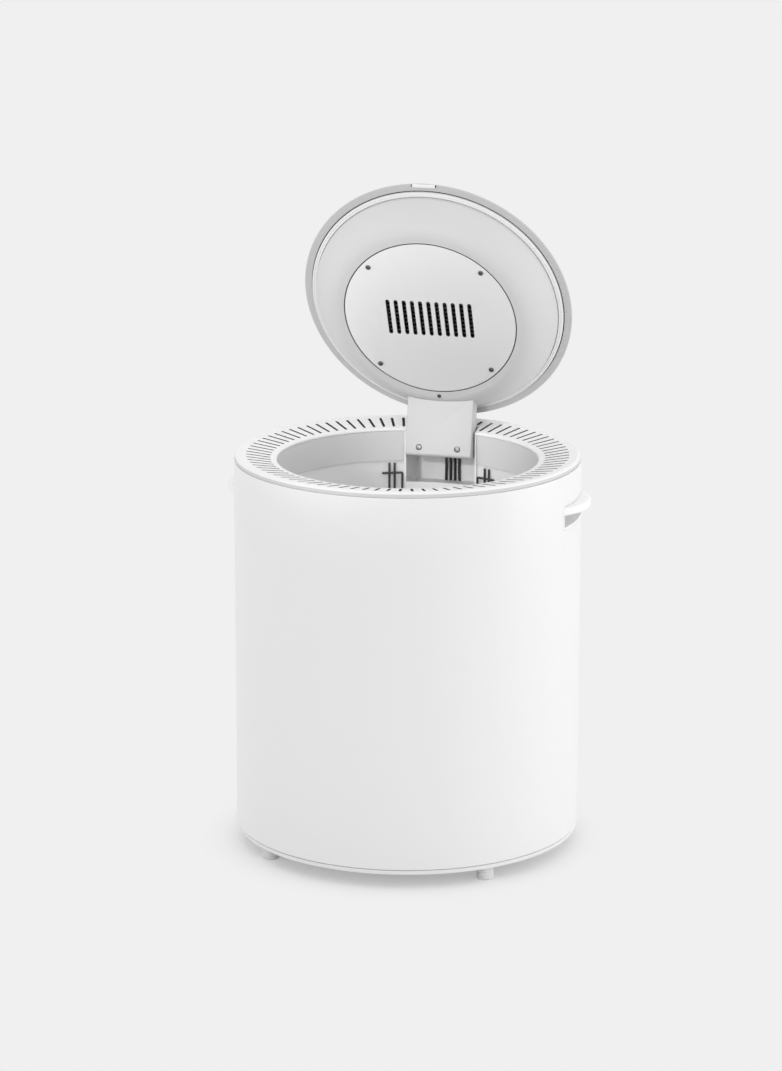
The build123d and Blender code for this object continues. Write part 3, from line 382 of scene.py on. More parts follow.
# Name, grey, roughness, drift of tone, relief, coat.
PLASTICS = {
    "shell": ("white_gloss_shell", 0.86, 0.3, 0.012, 6, 0.3),
    "cover": ("white_gloss_cover", 0.75, 0.36, 0.012, 6, 0.2),
    "ring": ("white_satin_ring", 0.9, 0.42, 0.015, 10, 0.0),
    # Whiter than the shell: partly the handles' own white, partly painted light that lifts the shade
    # in their pockets.
    "handle": ("white_handle_and_painted_light", 0.93, 0.35, 0.012, 8, 0.0),
    # Painted shade: darker than the ring, for the shadow gap under its crest.
    "band": ("grey_band_painted_shade", 0.66, 0.42, 0.015, 10, 0.0),
    # Painted shade: the arm is the ring's white plastic, darkened to the shade it stands in.
    "arm": ("white_arm_painted_shade", 0.6, 0.42, 0.015, 10, 0.0),
    "base": ("white_base", 0.84, 0.45, 0.02, 12, 0.0),
    "collar": ("grey_collar", 0.7, 0.4, 0.05, 10, 0.0),
    "liner": ("silver_grey_liner", 0.66, 0.5, 0.05, 14, 0.0),
    "rim": ("grey_rim", 0.56, 0.42, 0.04, 10, 0.0),
    # Painted shade: near black, for the walls and chamfers of slots, darker than the light makes them.
    "painted_slot_shade": ("painted_shade_slot_walls", 0.07, 0.7, 0.1, 10, 0.0),
    "well": ("grey_well", 0.9, 0.5, 0.08, 14, 0.0),
    "gasket": ("pale_gasket", 0.86, 0.35, 0.03, 10, 0.0),
    "rubber": ("pale_rubber", 0.78, 0.7, 0.08, 30, 0.0),
    # Black of the cables, gland and thermostat, and painted shade beside the seal, round the plate and
    # at the catch.
    "cable": ("black_cable_and_painted_shade", 0.02, 0.5, 0.2, 15, 0.0),
    "fan": ("black_fan", 0.03, 0.45, 0.15, 15, 0.0),
    "panel": ("black_panel", 0.012, 0.12, 0.1, 1, 0.5),
    "mark": ("pale_panel_mark", 0.55, 0.6, 0.05, 5, 0.0),
}
# Name, grey, roughness, drift of tone, relief, metallic share, grain along X, Y and Z.
STEELS = {
    "plate": ("brushed_plate", 0.92, 0.38, 0.05, 5, 0.25, (1800.0, 30.0, 30.0)),
    "drum": ("rolled_drum_steel", 0.92, 0.4, 0.05, 6, 0.15, (40.0, 40.0, 1500.0)),
    "steel": ("plain_steel", 0.5, 0.35, 0.15, 6, 1.0, (300.0, 300.0, 300.0)),
    "wire": ("dark_wire", 0.12, 0.3, 0.1, 3, 1.0, (200.0, 200.0, 900.0)),
    "screw": ("screw_steel", 0.2, 0.36, 0.2, 6, 1.0, (900.0, 900.0, 900.0)),
    "fins": ("heater_fins", 0.16, 0.4, 0.2, 6, 1.0, (700.0, 700.0, 700.0)),
}
FINISH = {"board": finish_material("green_board", MOULDED_SKIN, BOARD_GREEN, 0.4, 0.2, 10)}
for key, (name, level, roughness, drift, relief, coat) in PLASTICS.items():
    FINISH[key] = finish_material(name, MOULDED_SKIN, grey(level), roughness, drift, relief, coat=coat)
for key, (name, level, roughness, drift, relief, metallic, grain) in STEELS.items():
    FINISH[key] = finish_material(
        name, ROLLED_STEEL, grey(level), roughness, drift, relief, metallic=metallic, grain=grain
    )
print("finishes:", len(FINISH))

# %% [markdown]
# ## Softened CAD pieces
# CAD pieces arrive as loose flat triangles. A small Geometry Nodes tree joins their corners and
# shades them smooth, and keeps the edges sharper than an angle. The CAD mesh itself is not
# changed, because this is only a modifier.

# %% Smooth shading for CAD pieces
SHARP_ANGLE = math.radians(32)
JOIN_DISTANCE = 0.004 * MM


def geometry_tree(name, inputs):
    """A Geometry Nodes tree that geometry passes through, and the sockets that start it."""
    tree = bpy.data.node_groups.new(name, "GeometryNodeTree")
    for label, kind in {"Geometry": "Geometry", **inputs}.items():
        tree.interface.new_socket(label, in_out="INPUT", socket_type="NodeSocket" + kind)
    tree.interface.new_socket("Geometry", in_out="OUTPUT", socket_type="NodeSocketGeometry")
    return tree, node(tree, "NodeGroupInput").outputs


def soften_tree():
    """A Geometry Nodes tree that welds, shades smooth and marks sharp edges."""
    tree, start = geometry_tree("soft_shading", {})
    joined = {"Geometry": start["Geometry"], "Distance": JOIN_DISTANCE}
    weld = node(tree, "GeometryNodeMergeByDistance", joined)
    smooth = node(tree, "GeometryNodeSetShadeSmooth", {0: weld.outputs[0]}, domain="FACE")
    bend = node(tree, "GeometryNodeInputMeshEdgeAngle").outputs["Unsigned Angle"]
    sharper = node(
        tree, "FunctionNodeCompare", {0: bend, 1: SHARP_ANGLE}, data_type="FLOAT",
        operation="GREATER_THAN",
    )
    edges = {0: smooth.outputs[0], "Selection": sharper.outputs[0], "Shade Smooth": False}
    crease = node(tree, "GeometryNodeSetShadeSmooth", edges, domain="EDGE")
    node(tree, "NodeGroupOutput", {0: crease.outputs[0]})
    return tree


SOFTEN = soften_tree()
CAD_FINISHES = {
    "base": ("base_pan",),
    "handle": ("side_handle_right", "side_handle_left"),
    "collar": ("inner_collar",),
    "drum": ("inner_drum", "drum_floor"),
    "well": ("hinge_well", "cable_clamp"),
    "screw": ("hinge_pin",),
    "cable": ("cord_gland", "thermostat"),
    "cover": ("lid_cover",),
    "steel": ("hinge_arm", "heater_tray"),
    "liner": ("hinge_bushes",),
    "fins": ("heater_core",),
    "fan": ("fan_case", "fan_motor", "fan_rotor"),
    "panel": ("touch_panel",),
    "board": ("control_board",),
}
for finish, names in CAD_FINISHES.items():
    for name in names:
        piece = frame["nodes"][name]
        piece.data.materials.clear()
        piece.data.materials.append(FINISH[finish])
        piece.modifiers.new("soft_shading", "NODES").node_group = SOFTEN
print("painted CAD pieces:", sum(len(names) for names in CAD_FINISHES.values()))

# %% [markdown]
# ## Tools for new pieces
# Most of this object is round, so most new pieces are outlines turned about an axis. An outline
# is a list of corners, each with the radius that rounds it off. Real edges are never quite
# sharp, and those small roundings catch the light.

# %% Outlines and turned meshes
SEGMENTS = 320
MERGE_DISTANCE = 0.0001 * MM
CORNER_STEPS = 5


def rounded(corners, steps=CORNER_STEPS):
    """A closed outline from corners (x, y, rounding radius)."""
    outline = []
    for index, (x, y, radius) in enumerate(corners):
        here = Vector((x, y))
        back = (Vector(corners[index - 1][:2]) - here).normalized()
        ahead = (Vector(corners[(index + 1) % len(corners)][:2]) - here).normalized()
        if radius == 0:
            outline.append(here)
            continue
        half_angle = back.angle(ahead) / 2
        middle = here + (back + ahead).normalized() * radius / math.sin(half_angle)
        start = here + back * radius / math.tan(half_angle) - middle
        end = here + ahead * radius / math.tan(half_angle) - middle
        sweep_angle = start.angle_signed(end)
        for step in range(steps + 1):
            outline.append(middle + Matrix.Rotation(-sweep_angle * step / steps, 2) @ start)
    return outline


def smoothed(mesh):
    """Smooth shading, with the edges sharper than an angle kept."""
    mesh.shade_smooth()
    mesh.set_sharp_from_angle(angle=SHARP_ANGLE)
    return mesh


def finished_mesh(name, shape, place=None):
    """A smooth mesh from a bmesh, moved by a matrix, with its faces turned outward."""
    bmesh.ops.recalc_face_normals(shape, faces=shape.faces)
    if place is not None:
        shape.transform(place)
    mesh = bpy.data.meshes.new(name)
    shape.to_mesh(mesh)
    shape.free()
    return smoothed(mesh)


def turned(name, outline, place=None, segments=SEGMENTS):
    """A closed (radius, height) outline turned about Z."""
    shape = bmesh.new()
    rings = []
    for step in range(segments):
        turn = Matrix.Rotation(math.tau * step / segments, 4, "Z")
        corners = [turn @ Vector((radius, 0, height)) for radius, height in outline]
        rings.append([shape.verts.new(corner) for corner in corners])
    for step in range(segments):
        near = rings[step]
        far = rings[(step + 1) % segments]
        for index in range(len(outline)):
            after = (index + 1) % len(outline)
            if outline[index][0] or outline[after][0]:
                shape.faces.new((near[index], far[index], far[after], near[after]))
    bmesh.ops.remove_doubles(shape, verts=shape.verts, dist=MERGE_DISTANCE)
    return finished_mesh(name, shape, place)


def layered(name, layers, place=None):
    """A closed body through outlines of equal count, each (outline, height)."""
    shape = bmesh.new()
    rings = [[shape.verts.new((x, y, height)) for x, y in outline] for outline, height in layers]
    shape.faces.new(rings[0])
    shape.faces.new(rings[-1])
    for low, high in zip(rings, rings[1:]):
        for index in range(len(low)):
            after = (index + 1) % len(low)
            shape.faces.new((low[index], low[after], high[after], high[index]))
    return finished_mesh(name, shape, place)


def prism(name, outline, bottom, top, place=None):
    """A closed flat outline given a thickness from bottom to top."""
    return layered(name, [(outline, bottom), (outline, top)], place)


def oblong(half_width, low, high, corner):
    """The outline of a rounded rectangle."""
    ends = ((-half_width, low), (half_width, low), (half_width, high), (-half_width, high))
    return rounded([(x, y, corner) for x, y in ends])


def slab(name, half_width, low, high, corner, depth, place=None):
    """A rounded rectangle, as thick as twice the depth."""
    return prism(name, oblong(half_width, low, high, corner), -depth, depth, place)


def settle(piece, body, slot_name, *nodes):
    """Gives a piece its body, and says which CAD nodes it stands for."""
    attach(piece, body)
    if nodes:
        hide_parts(*nodes)
    print(piece.name, "rides on", body, "for", ", ".join(nodes) or "no node")


# %% [markdown]
# ## Repeats by Geometry Nodes
# Slots and screws repeat. A mesh of loose points says where, each with a turn, and one tree puts
# a shape on every point. It either adds the shapes to the piece or cuts them out of it. The shapes
# carry a material of their own, so the walls of a slot get a near-black painted shade.

# %% Geometry Nodes tree for repeats
TURN = "turn"


def repeat_tree(name, cuts):
    """A tree that puts a shape on every point of a places mesh, and cuts with it or adds it."""
    inputs = {"Places": "Object", "Shape": "Object", "Material": "Material"}
    tree, start = geometry_tree(name, inputs)
    places = node(tree, "GeometryNodeObjectInfo", {"Object": start["Places"]})
    shape = node(tree, "GeometryNodeObjectInfo", {"Object": start["Shape"]})
    turn = node(tree, "GeometryNodeInputNamedAttribute", {"Name": TURN}, data_type="QUATERNION")
    copies = node(tree, "GeometryNodeInstanceOnPoints", {
        "Points": places.outputs["Geometry"],
        "Instance": shape.outputs["Geometry"],
        "Rotation": turn.outputs["Attribute"],
    })
    real = node(tree, "GeometryNodeRealizeInstances", {0: copies.outputs[0]})
    dress = {"Geometry": real.outputs[0], "Material": start["Material"]}
    dressed = node(tree, "GeometryNodeSetMaterial", dress).outputs[0]
    if cuts:
        meshes = {"Mesh 1": start["Geometry"], "Mesh 2": dressed}
        joined = node(
            tree, "GeometryNodeMeshBoolean", meshes, operation="DIFFERENCE", solver="EXACT"
        )
    else:
        joined = node(tree, "GeometryNodeJoinGeometry", {0: dressed})
        feed(tree, joined.inputs, {0: start["Geometry"]})
    node(tree, "NodeGroupOutput", {0: joined.outputs[0]})
    return tree


CUT_AT_PLACES = repeat_tree("cut_at_places", cuts=True)
ADD_AT_PLACES = repeat_tree("add_at_places", cuts=False)


def repeat(piece, tree, shape_mesh, places, finish):
    """Runs a repeat tree on a piece, keeps the result as its mesh and clears the helpers away."""
    points = bpy.data.meshes.new("places")
    points.from_pydata([place.translation for place in places], [], [])
    turns = points.attributes.new(TURN, "QUATERNION", "POINT")
    for item, place in zip(turns.data, places):
        item.value = place.to_quaternion()
    helpers = {"Places": on_set("places", points), "Shape": on_set("repeated_shape", shape_mesh)}
    modifier = piece.modifiers.new("repeats", "NODES")
    modifier.node_group = tree
    sockets = {item.name: item.identifier for item in tree.interface.items_tree}
    for label, value in {**helpers, "Material": FINISH[finish]}.items():
        modifier[sockets[label]] = value
    keep_modified(piece)
    for helper in helpers.values():
        bpy.data.objects.remove(helper)


def keep_modified(piece):
    """Makes a piece's modified mesh its own."""
    bpy.context.view_layer.update()
    graph = bpy.context.evaluated_depsgraph_get()
    mesh = bpy.data.meshes.new_from_object(piece.evaluated_get(graph))
    piece.modifiers.clear()
    piece.data = smoothed(mesh)


def cut(piece, *cutter_meshes):
    """Cuts meshes out of a piece."""
    for mesh in cutter_meshes:
        cutter = on_set("cutter", mesh)
        modifier = piece.modifiers.new("cut", "BOOLEAN")
        modifier.object = cutter
        modifier.solver = "EXACT"
        keep_modified(piece)
        bpy.data.objects.remove(cutter)


def spun(angle, reach=0.0, height=0.0):
    """A placing matrix at this angle, distance and height about Z, turned to face outward."""
    return Matrix.Rotation(angle, 4, "Z") @ Matrix.Translation((reach, 0, height))


def at(x, y, z=0.0):
    """A placing matrix at a point."""
    return Matrix.Translation((x, y, z))


print("repeat trees:", CUT_AT_PLACES.name, ADD_AT_PLACES.name)

# %% [markdown]
# ## Sizes shared by the pieces
# Heights and the shell's radius come from the CAD pieces. The walls and margins are the CAD
# model's own driving sizes. The lid's pieces are made lying flat and then placed by one matrix.
# The edges are the radii that round off most corners.

# %% Shared sizes
SEAT_GAP = 0.3 * MM
OVERRUN = 4 * MM
HAIR = 0.05 * MM
FINE_EDGE = 0.2 * MM
CRISP_EDGE = 0.3 * MM
SOFT_EDGE = 0.8 * MM
SHELL_LOW, SHELL_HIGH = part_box("outer_shell")
SHELL_RADIUS = SHELL_HIGH.x
SHELL_TOP = SHELL_HIGH.z
SHELL_WALL = 2.2 * MM
SPIGOT_RADIUS = SHELL_RADIUS - SHELL_WALL - SEAT_GAP
MOUTH_RADIUS = SHELL_RADIUS - 47 * MM
CREST_RADIUS = SHELL_RADIUS - 4.5 * MM
CREST_HEIGHT = SHELL_TOP + 6.3 * MM
MOUTH_HEIGHT = CREST_HEIGHT - 6.5 * MM
LIP_BOTTOM = MOUTH_HEIGHT - 2.5 * MM
RING_WALL = 2.2 * MM
HINGE_REACH = SHELL_RADIUS - 18 * MM
HINGE_DROP = 21 * MM
PLUG_RADIUS = MOUTH_RADIUS - 4.8 * MM
PLUG_DROP = 8 * MM
PLUG_FLAT_RADIUS = PLUG_RADIUS - 24.2 * MM
PLATE_DROP = 35.5 * MM
PLATE_RADIUS = PLUG_FLAT_RADIUS - 16.6 * MM
fan_joint = next(joint for joint in frame["joints"] if joint["name"] == "fan_spin")
lid_across = Vector((1, 0, 0))
lid_up = Vector(fan_joint["axis"]).normalized()
LID_TURN = Matrix((lid_across, lid_up.cross(lid_across), lid_up)).transposed().to_4x4()
LID = at(*fan_joint["pos_m"]) @ LID_TURN
FACING_X = Matrix(((0, 0, 1, 0), (1, 0, 0, 0), (0, 1, 0, 0), (0, 0, 0, 1)))
FACING_BACK = Matrix.Rotation(math.radians(QUARTER_TURN), 4, "X")
UPSIDE_DOWN = Matrix.Rotation(math.pi, 4, "X")
print("shell radius", round(SHELL_RADIUS, 4), "mouth radius", round(MOUTH_RADIUS, 4))
print("lid at", LID.translation)

# %% [markdown]
# ## The shell
# A thin tube with softened edges, a window for each side handle and a hole for the mains lead.

# %% Shell
POCKET_HALF_WIDTH = 42 * MM
POCKET_CORNER = 5 * MM
LEAD_HOLE = 6.3 * MM
LEAD_HOLE_CORNER = 0.999 * LEAD_HOLE
SHELL_FOOT_EDGE = 0.7 * MM
SHELL_INNER_EDGE = 0.4 * MM


def shell_tube():
    """The shell with its windows."""
    inner = SHELL_RADIUS - SHELL_WALL
    outline = rounded([
        (inner, SHELL_LOW.z, SHELL_INNER_EDGE),
        (SHELL_RADIUS, SHELL_LOW.z, SHELL_FOOT_EDGE),
        (SHELL_RADIUS, SHELL_TOP, SOFT_EDGE),
        (inner, SHELL_TOP, SOFT_EDGE),
    ])
    shell = on_set("shell_tube", turned("shell_tube", outline), "shell")
    pocket_low, pocket_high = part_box("side_handle_right")
    windows = slab(
        "windows", POCKET_HALF_WIDTH + SEAT_GAP, pocket_low.z - SEAT_GAP, pocket_high.z + SEAT_GAP,
        POCKET_CORNER, 2 * SHELL_RADIUS, FACING_X,
    )
    hole = slab(
        "lead_hole", LEAD_HOLE, -LEAD_HOLE, LEAD_HOLE, LEAD_HOLE_CORNER, SHELL_RADIUS / 2,
        at(0, SHELL_RADIUS, middle_of("cord_gland").z) @ FACING_BACK,
    )
    cut(shell, windows, hole)
    settle(shell, "cabinet", "shell_white", "outer_shell")


shell_tube()

# %% [markdown]
# ## The vent ring
# The ring dishes down from its crest to the mouth. Its radial slots are cut by the repeat tree:
# full ones all round, and short ones behind the hinge, where the ring is notched for the arm.

# %% Vent ring
SLOT_COUNT = 84
SLOT_WIDTH = 3 * MM
SLOT_CORNER = 0.6 * MM
SLOT_INNER = MOUTH_RADIUS + 7 * MM
SLOT_OUTER = SHELL_RADIUS - 13.5 * MM
REAR_SLOT_LENGTH = 10.5 * MM
REAR_SLOTS_EACH_SIDE = 3
NOTCH_HALF_WIDTH = 40 * MM
NOTCH_REACH = SHELL_RADIUS - 32 * MM
WELL_HALF_WIDTH = 42.5 * MM
RING_SKIRT = 14 * MM
RING_OUTER = SHELL_RADIUS - 1.4 * MM
RING_SHOULDER = 1.4 * MM
MOUTH_EDGE = 1.4 * MM
CREST_EDGE = 1.6 * MM
SHOULDER_EDGE = 1.2 * MM
NOTCH_EDGE = 1.5 * MM
RECESS_EDGE = 1 * MM
BAND_DROP = 2.4 * MM
BAND_RISE = 0.2 * MM
BAND_SEAT = 0.3 * MM
BAND_EDGE = 0.1 * MM


def radial_slots(ring, inner, outer, numbers):
    """Cuts one slot for each number of steps from the back."""
    half_length = (outer - inner) / 2
    half_width = SLOT_WIDTH / 2
    reach = (inner + outer) / 2
    cutter = slab("slot", half_length, -half_width, half_width, SLOT_CORNER, CREST_HEIGHT - LIP_BOTTOM)
    turns = [math.pi / 2 + number * math.tau / SLOT_COUNT for number in numbers]
    places = [spun(turn, reach, CREST_HEIGHT) for turn in turns]
    # The cut walls get the near-black painted shade.
    repeat(ring, CUT_AT_PLACES, cutter, places, "painted_slot_shade")


def vent_ring():
    """The slotted ring round the mouth."""
    slope = (CREST_HEIGHT - MOUTH_HEIGHT) / (CREST_RADIUS - MOUTH_RADIUS)
    inner_wall = MOUTH_RADIUS + RING_WALL
    skirt_inner = SPIGOT_RADIUS - RING_WALL
    outline = rounded([
        (MOUTH_RADIUS, LIP_BOTTOM, CRISP_EDGE),
        (MOUTH_RADIUS, MOUTH_HEIGHT, MOUTH_EDGE),
        (CREST_RADIUS, CREST_HEIGHT, CREST_EDGE),
        (RING_OUTER, CREST_HEIGHT - RING_SHOULDER, SHOULDER_EDGE),
        (RING_OUTER, SHELL_TOP + SEAT_GAP, FINE_EDGE),
        (SPIGOT_RADIUS, SHELL_TOP + SEAT_GAP, 0),
        (SPIGOT_RADIUS, SHELL_TOP - RING_SKIRT, CRISP_EDGE),
        (skirt_inner, SHELL_TOP - RING_SKIRT, CRISP_EDGE),
        (skirt_inner, CREST_HEIGHT - RING_WALL * (1 + slope), SOFT_EDGE),
        (inner_wall, MOUTH_HEIGHT - RING_WALL * (1 - slope), SOFT_EDGE),
        (inner_wall, LIP_BOTTOM, CRISP_EDGE),
    ])
    ring = on_set("vent_ring", turned("vent_ring", outline), "ring")
    rear = range(-REAR_SLOTS_EACH_SIDE, REAR_SLOTS_EACH_SIDE + 1)
    others = range(REAR_SLOTS_EACH_SIDE + 1, SLOT_COUNT - REAR_SLOTS_EACH_SIDE)
    radial_slots(ring, SLOT_INNER, SLOT_OUTER, others)
    radial_slots(ring, SLOT_OUTER - REAR_SLOT_LENGTH, SLOT_OUTER, rear)
    notch = slab(
        "notch", NOTCH_HALF_WIDTH, 0, NOTCH_REACH, NOTCH_EDGE, 2 * SHELL_RADIUS,
        at(0, 0, CREST_HEIGHT),
    )
    recess = slab(
        "recess", WELL_HALF_WIDTH, 0, 2 * SHELL_RADIUS, RECESS_EDGE, SHELL_RADIUS,
        at(0, 0, LIP_BOTTOM - SHELL_RADIUS),
    )
    cut(ring, notch, recess)
    settle(ring, "cabinet", "ring_white", "top_ring")


def ring_band():
    """A thin grey sheet round the ring between its crest and the shell: painted shade for the gap
    under the crest.
    """
    bottom = SHELL_TOP + 2 * SEAT_GAP
    top = CREST_HEIGHT - BAND_DROP
    outline = rounded([
        (RING_OUTER - BAND_SEAT, bottom, 0),
        (RING_OUTER + BAND_RISE, bottom, BAND_EDGE),
        (RING_OUTER + BAND_RISE, top, BAND_EDGE),
        (RING_OUTER - BAND_SEAT, top, 0),
    ])
    settle(on_set("ring_band", turned("ring_band", outline), "band"), "cabinet", "rim_grey")


vent_ring()
ring_band()

# %% [markdown]
# ## The lid's underside, rim, seal and vent plate
# These are turned or cut flat in the lid's own frame, where +Z is the lid's top, and then placed
# by the lid's matrix. The seal has two soft lips. The plate's slots have chamfered edges, and
# these and the slot walls get a near-black painted shade, as do the black rings beside the seal
# and round the plate and the black slabs at the catch's ends.

# %% Underside, rim and seal
LID_RADIUS = MOUTH_RADIUS + 10 * MM
RIM_HALF_THICKNESS = 1.2 * MM
RIM_EDGE = 1.1 * MM
GASKET_INNER = PLUG_RADIUS + SEAT_GAP
GASKET_OUTER = GASKET_INNER + 5.2 * MM
GASKET_TOP = -2 * MM
GASKET_BOTTOM = -4.8 * MM
SEAL_LIP_EDGE = 1 * MM
SEAL_VALLEY = 1.1 * MM
SEAL_TAPER = 0.2 * MM
SEAL_GROOVE = 0.7 * MM
GROOVE_TOP = 0.2 * MM
GROOVE_EDGE = 0.1 * MM
FOAM_RECESS = 0.3 * MM
LINER_WALL = 2.2 * MM
RECESS_CHAMFER = 0.3 * MM
PLATE_WALL = 1 * MM
PLATE_GAP = 1.1 * MM
AIR_OPENING = PLATE_RADIUS - 9.4 * MM
PLUG_CURVE_START = PLATE_RADIUS + 6.6 * MM
PLUG_CURVE_TURN = PLATE_RADIUS + 21.6 * MM
PLUG_CURVE_STEPS = 20
CATCH_HALF_WIDTH = 13 * MM
CATCH_HALF_DEPTH = 1.5 * MM
CATCH_HALF_THICKNESS = 1 * MM
CATCH_CORNER = 0.5 * MM
CATCH_INSET = 1.9 * MM
CATCH_PROUD = 0.3 * MM
CATCH_GAP_HALF = 0.5 * MM


def lid_piece(name, outline, finish, slot_name, *nodes):
    """A piece of the lid from an outline turned in the lid's own frame."""
    settle(on_set(name, turned(name, outline, LID), finish), "lid", slot_name, *nodes)


def lid_rim():
    """The trim ring round the lid's edge, with a step down beside the seal."""
    inner = GASKET_OUTER + SEAT_GAP
    step = inner + SEAL_GROOVE
    outline = rounded([
        (inner, GROOVE_TOP, 0),
        (step, GROOVE_TOP, GROOVE_EDGE),
        (step, -RIM_HALF_THICKNESS, CRISP_EDGE),
        (LID_RADIUS, -RIM_HALF_THICKNESS, RIM_EDGE),
        (LID_RADIUS, RIM_HALF_THICKNESS, RIM_EDGE),
        (inner, RIM_HALF_THICKNESS, FINE_EDGE),
    ])
    lid_piece("lid_trim_ring", outline, "rim", "rim_grey", "lid_rim")


def seal_groove():
    """A black ring in the groove between the seal and the rim: painted shade for the groove's shadow.
    """
    inner = GASKET_OUTER + HAIR
    outer = GASKET_OUTER + SEAT_GAP + SEAL_GROOVE - HAIR
    face = FOAM_RECESS - RIM_HALF_THICKNESS
    back = GROOVE_TOP - HAIR
    outline = [(inner, back), (inner, face), (outer, face), (outer, back)]
    # The black finish here is painted shade.
    lid_piece("seal_groove", outline, "cable", "cable_black")


def lid_seal():
    """The soft seal: a root held in the lid and two lips that meet the vent ring."""
    middle = (GASKET_INNER + GASKET_OUTER) / 2
    outline = rounded([
        (GASKET_INNER, GASKET_TOP, 0),
        (GASKET_INNER + SEAL_TAPER, GASKET_BOTTOM, SEAL_LIP_EDGE),
        (middle - CRISP_EDGE, GASKET_BOTTOM + SEAL_TAPER, SOFT_EDGE),
        (middle, GASKET_BOTTOM + SEAL_VALLEY, FINE_EDGE),
        (middle + CRISP_EDGE, GASKET_BOTTOM + SEAL_TAPER, SOFT_EDGE),
        (GASKET_OUTER - SEAL_TAPER, GASKET_BOTTOM, SEAL_LIP_EDGE),
        (GASKET_OUTER, GASKET_TOP, 0),
    ])
    lid_piece("lid_seal", outline, "gasket", "gasket_grey", "lid_gasket")


def plug_side(clearance=0.0):
    """The underside's easy curve from the flat round the plate up to the plug's flank."""
    start = Vector((PLUG_CURVE_START, -PLATE_DROP - clearance))
    turn = Vector((PLUG_CURVE_TURN, -PLATE_DROP - clearance))
    end = Vector((PLUG_RADIUS + clearance, -PLUG_DROP))
    curve = []
    for step in range(PLUG_CURVE_STEPS + 1):
        share = step / PLUG_CURVE_STEPS
        curve.append(start * (1 - share) ** 2 + turn * 2 * share * (1 - share) + end * share**2)
    return curve


def lid_liner():
    """The lid's moulded underside, with a ledge that the plate lies on and a flange over the rim."""
    ledge = PLATE_WALL - PLATE_DROP
    recess = PLATE_RADIUS + PLATE_GAP
    flange = RIM_HALF_THICKNESS + SEAT_GAP
    outline = [
        (AIR_OPENING, ledge),
        (recess, ledge),
        (recess, RECESS_CHAMFER - PLATE_DROP),
        (recess + RECESS_CHAMFER, -PLATE_DROP),
        *plug_side(),
        (PLUG_RADIUS, GASKET_TOP),
        (GASKET_OUTER, GASKET_TOP),
        (GASKET_OUTER, flange),
        (GASKET_OUTER + LINER_WALL, flange),
        (GASKET_OUTER + LINER_WALL, flange + LINER_WALL),
        (PLUG_RADIUS - LINER_WALL, flange + LINER_WALL),
        *reversed(plug_side(-LINER_WALL)),
        (recess, ledge + LINER_WALL),
        (AIR_OPENING, ledge + LINER_WALL),
    ]
    lid_piece("lid_underside", outline, "liner", "liner_grey", "lid_liner")


def lid_catch():
    """The white tab at the lid's free edge, and black slabs at its ends: painted shade for the narrow
    gaps there.
    """
    middle = LID @ at(0, CATCH_INSET - LID_RADIUS, -RIM_HALF_THICKNESS - CATCH_PROUD)
    tab = slab(
        "catch_tab", CATCH_HALF_WIDTH, -CATCH_HALF_DEPTH, CATCH_HALF_DEPTH, CATCH_CORNER,
        CATCH_HALF_THICKNESS, middle,
    )
    settle(on_set("catch_tab", tab, "ring"), "lid", "ring_white", "lid_catch")
    gaps = on_set("catch_gaps", bpy.data.meshes.new("catch_gaps"))
    gap_half_depth = CATCH_HALF_DEPTH - GROOVE_EDGE
    gap = slab("gap", CATCH_GAP_HALF, -gap_half_depth, gap_half_depth, GROOVE_EDGE, CATCH_GAP_HALF)
    gap_reach = CATCH_HALF_WIDTH + CATCH_GAP_HALF
    places = [middle @ at(side * gap_reach, 0) for side in (-1, 1)]
    # The slabs are black as painted shade in the gaps.
    repeat(gaps, ADD_AT_PLACES, gap, places, "cable")
    settle(gaps, "lid", "cable_black")


lid_liner()
lid_rim()
lid_seal()
seal_groove()
lid_catch()

# %% Vent plate
PLATE_SLOTS_EACH_SIDE = 5
PLATE_SLOT_PITCH = 9.35 * MM
PLATE_SLOT_LENGTH = 44 * MM
PLATE_SLOT_WIDTH = 3.8 * MM
SLOT_CHAMFER = 0.45 * MM
SLOT_END_SHARE = 0.99
PLATE_EDGE = 0.45 * MM
PLATE_SHADE_GAP = 0.02 * MM
PLATE_SHADE_RECESS = 0.1 * MM
PLATE_SCREW_SPAN = (PLATE_RADIUS - 6.9 * MM) / math.sqrt(2)


def slot_outline(length, width):
    """A slot with round ends, its length along Y."""
    return oblong(width / 2, -length / 2, length / 2, width / 2 * SLOT_END_SHARE)


def vent_plate():
    """The brushed disc with its row of slots."""
    face = -PLATE_DROP
    back = PLATE_WALL - PLATE_DROP
    outline = rounded([
        (0, face, 0),
        (PLATE_RADIUS, face, PLATE_EDGE),
        (PLATE_RADIUS, back, FINE_EDGE),
        (0, back, 0),
    ])
    plate = on_set("vent_disc", turned("vent_disc", outline), "plate")
    narrow = slot_outline(PLATE_SLOT_LENGTH, PLATE_SLOT_WIDTH)
    wide = slot_outline(PLATE_SLOT_LENGTH + 4 * SLOT_CHAMFER, PLATE_SLOT_WIDTH + 4 * SLOT_CHAMFER)
    layers = [(wide, -SLOT_CHAMFER), (narrow, SLOT_CHAMFER), (narrow, 2 * PLATE_WALL)]
    cutter = layered("plate_slot", layers)
    numbers = range(-PLATE_SLOTS_EACH_SIDE, PLATE_SLOTS_EACH_SIDE + 1)
    places = [at(number * PLATE_SLOT_PITCH, 0, face) for number in numbers]
    # The slot walls and chamfers get the near-black painted shade.
    repeat(plate, CUT_AT_PLACES, cutter, places, "painted_slot_shade")
    plate.data.transform(LID)
    settle(plate, "lid", "plate_steel", "vent_plate")


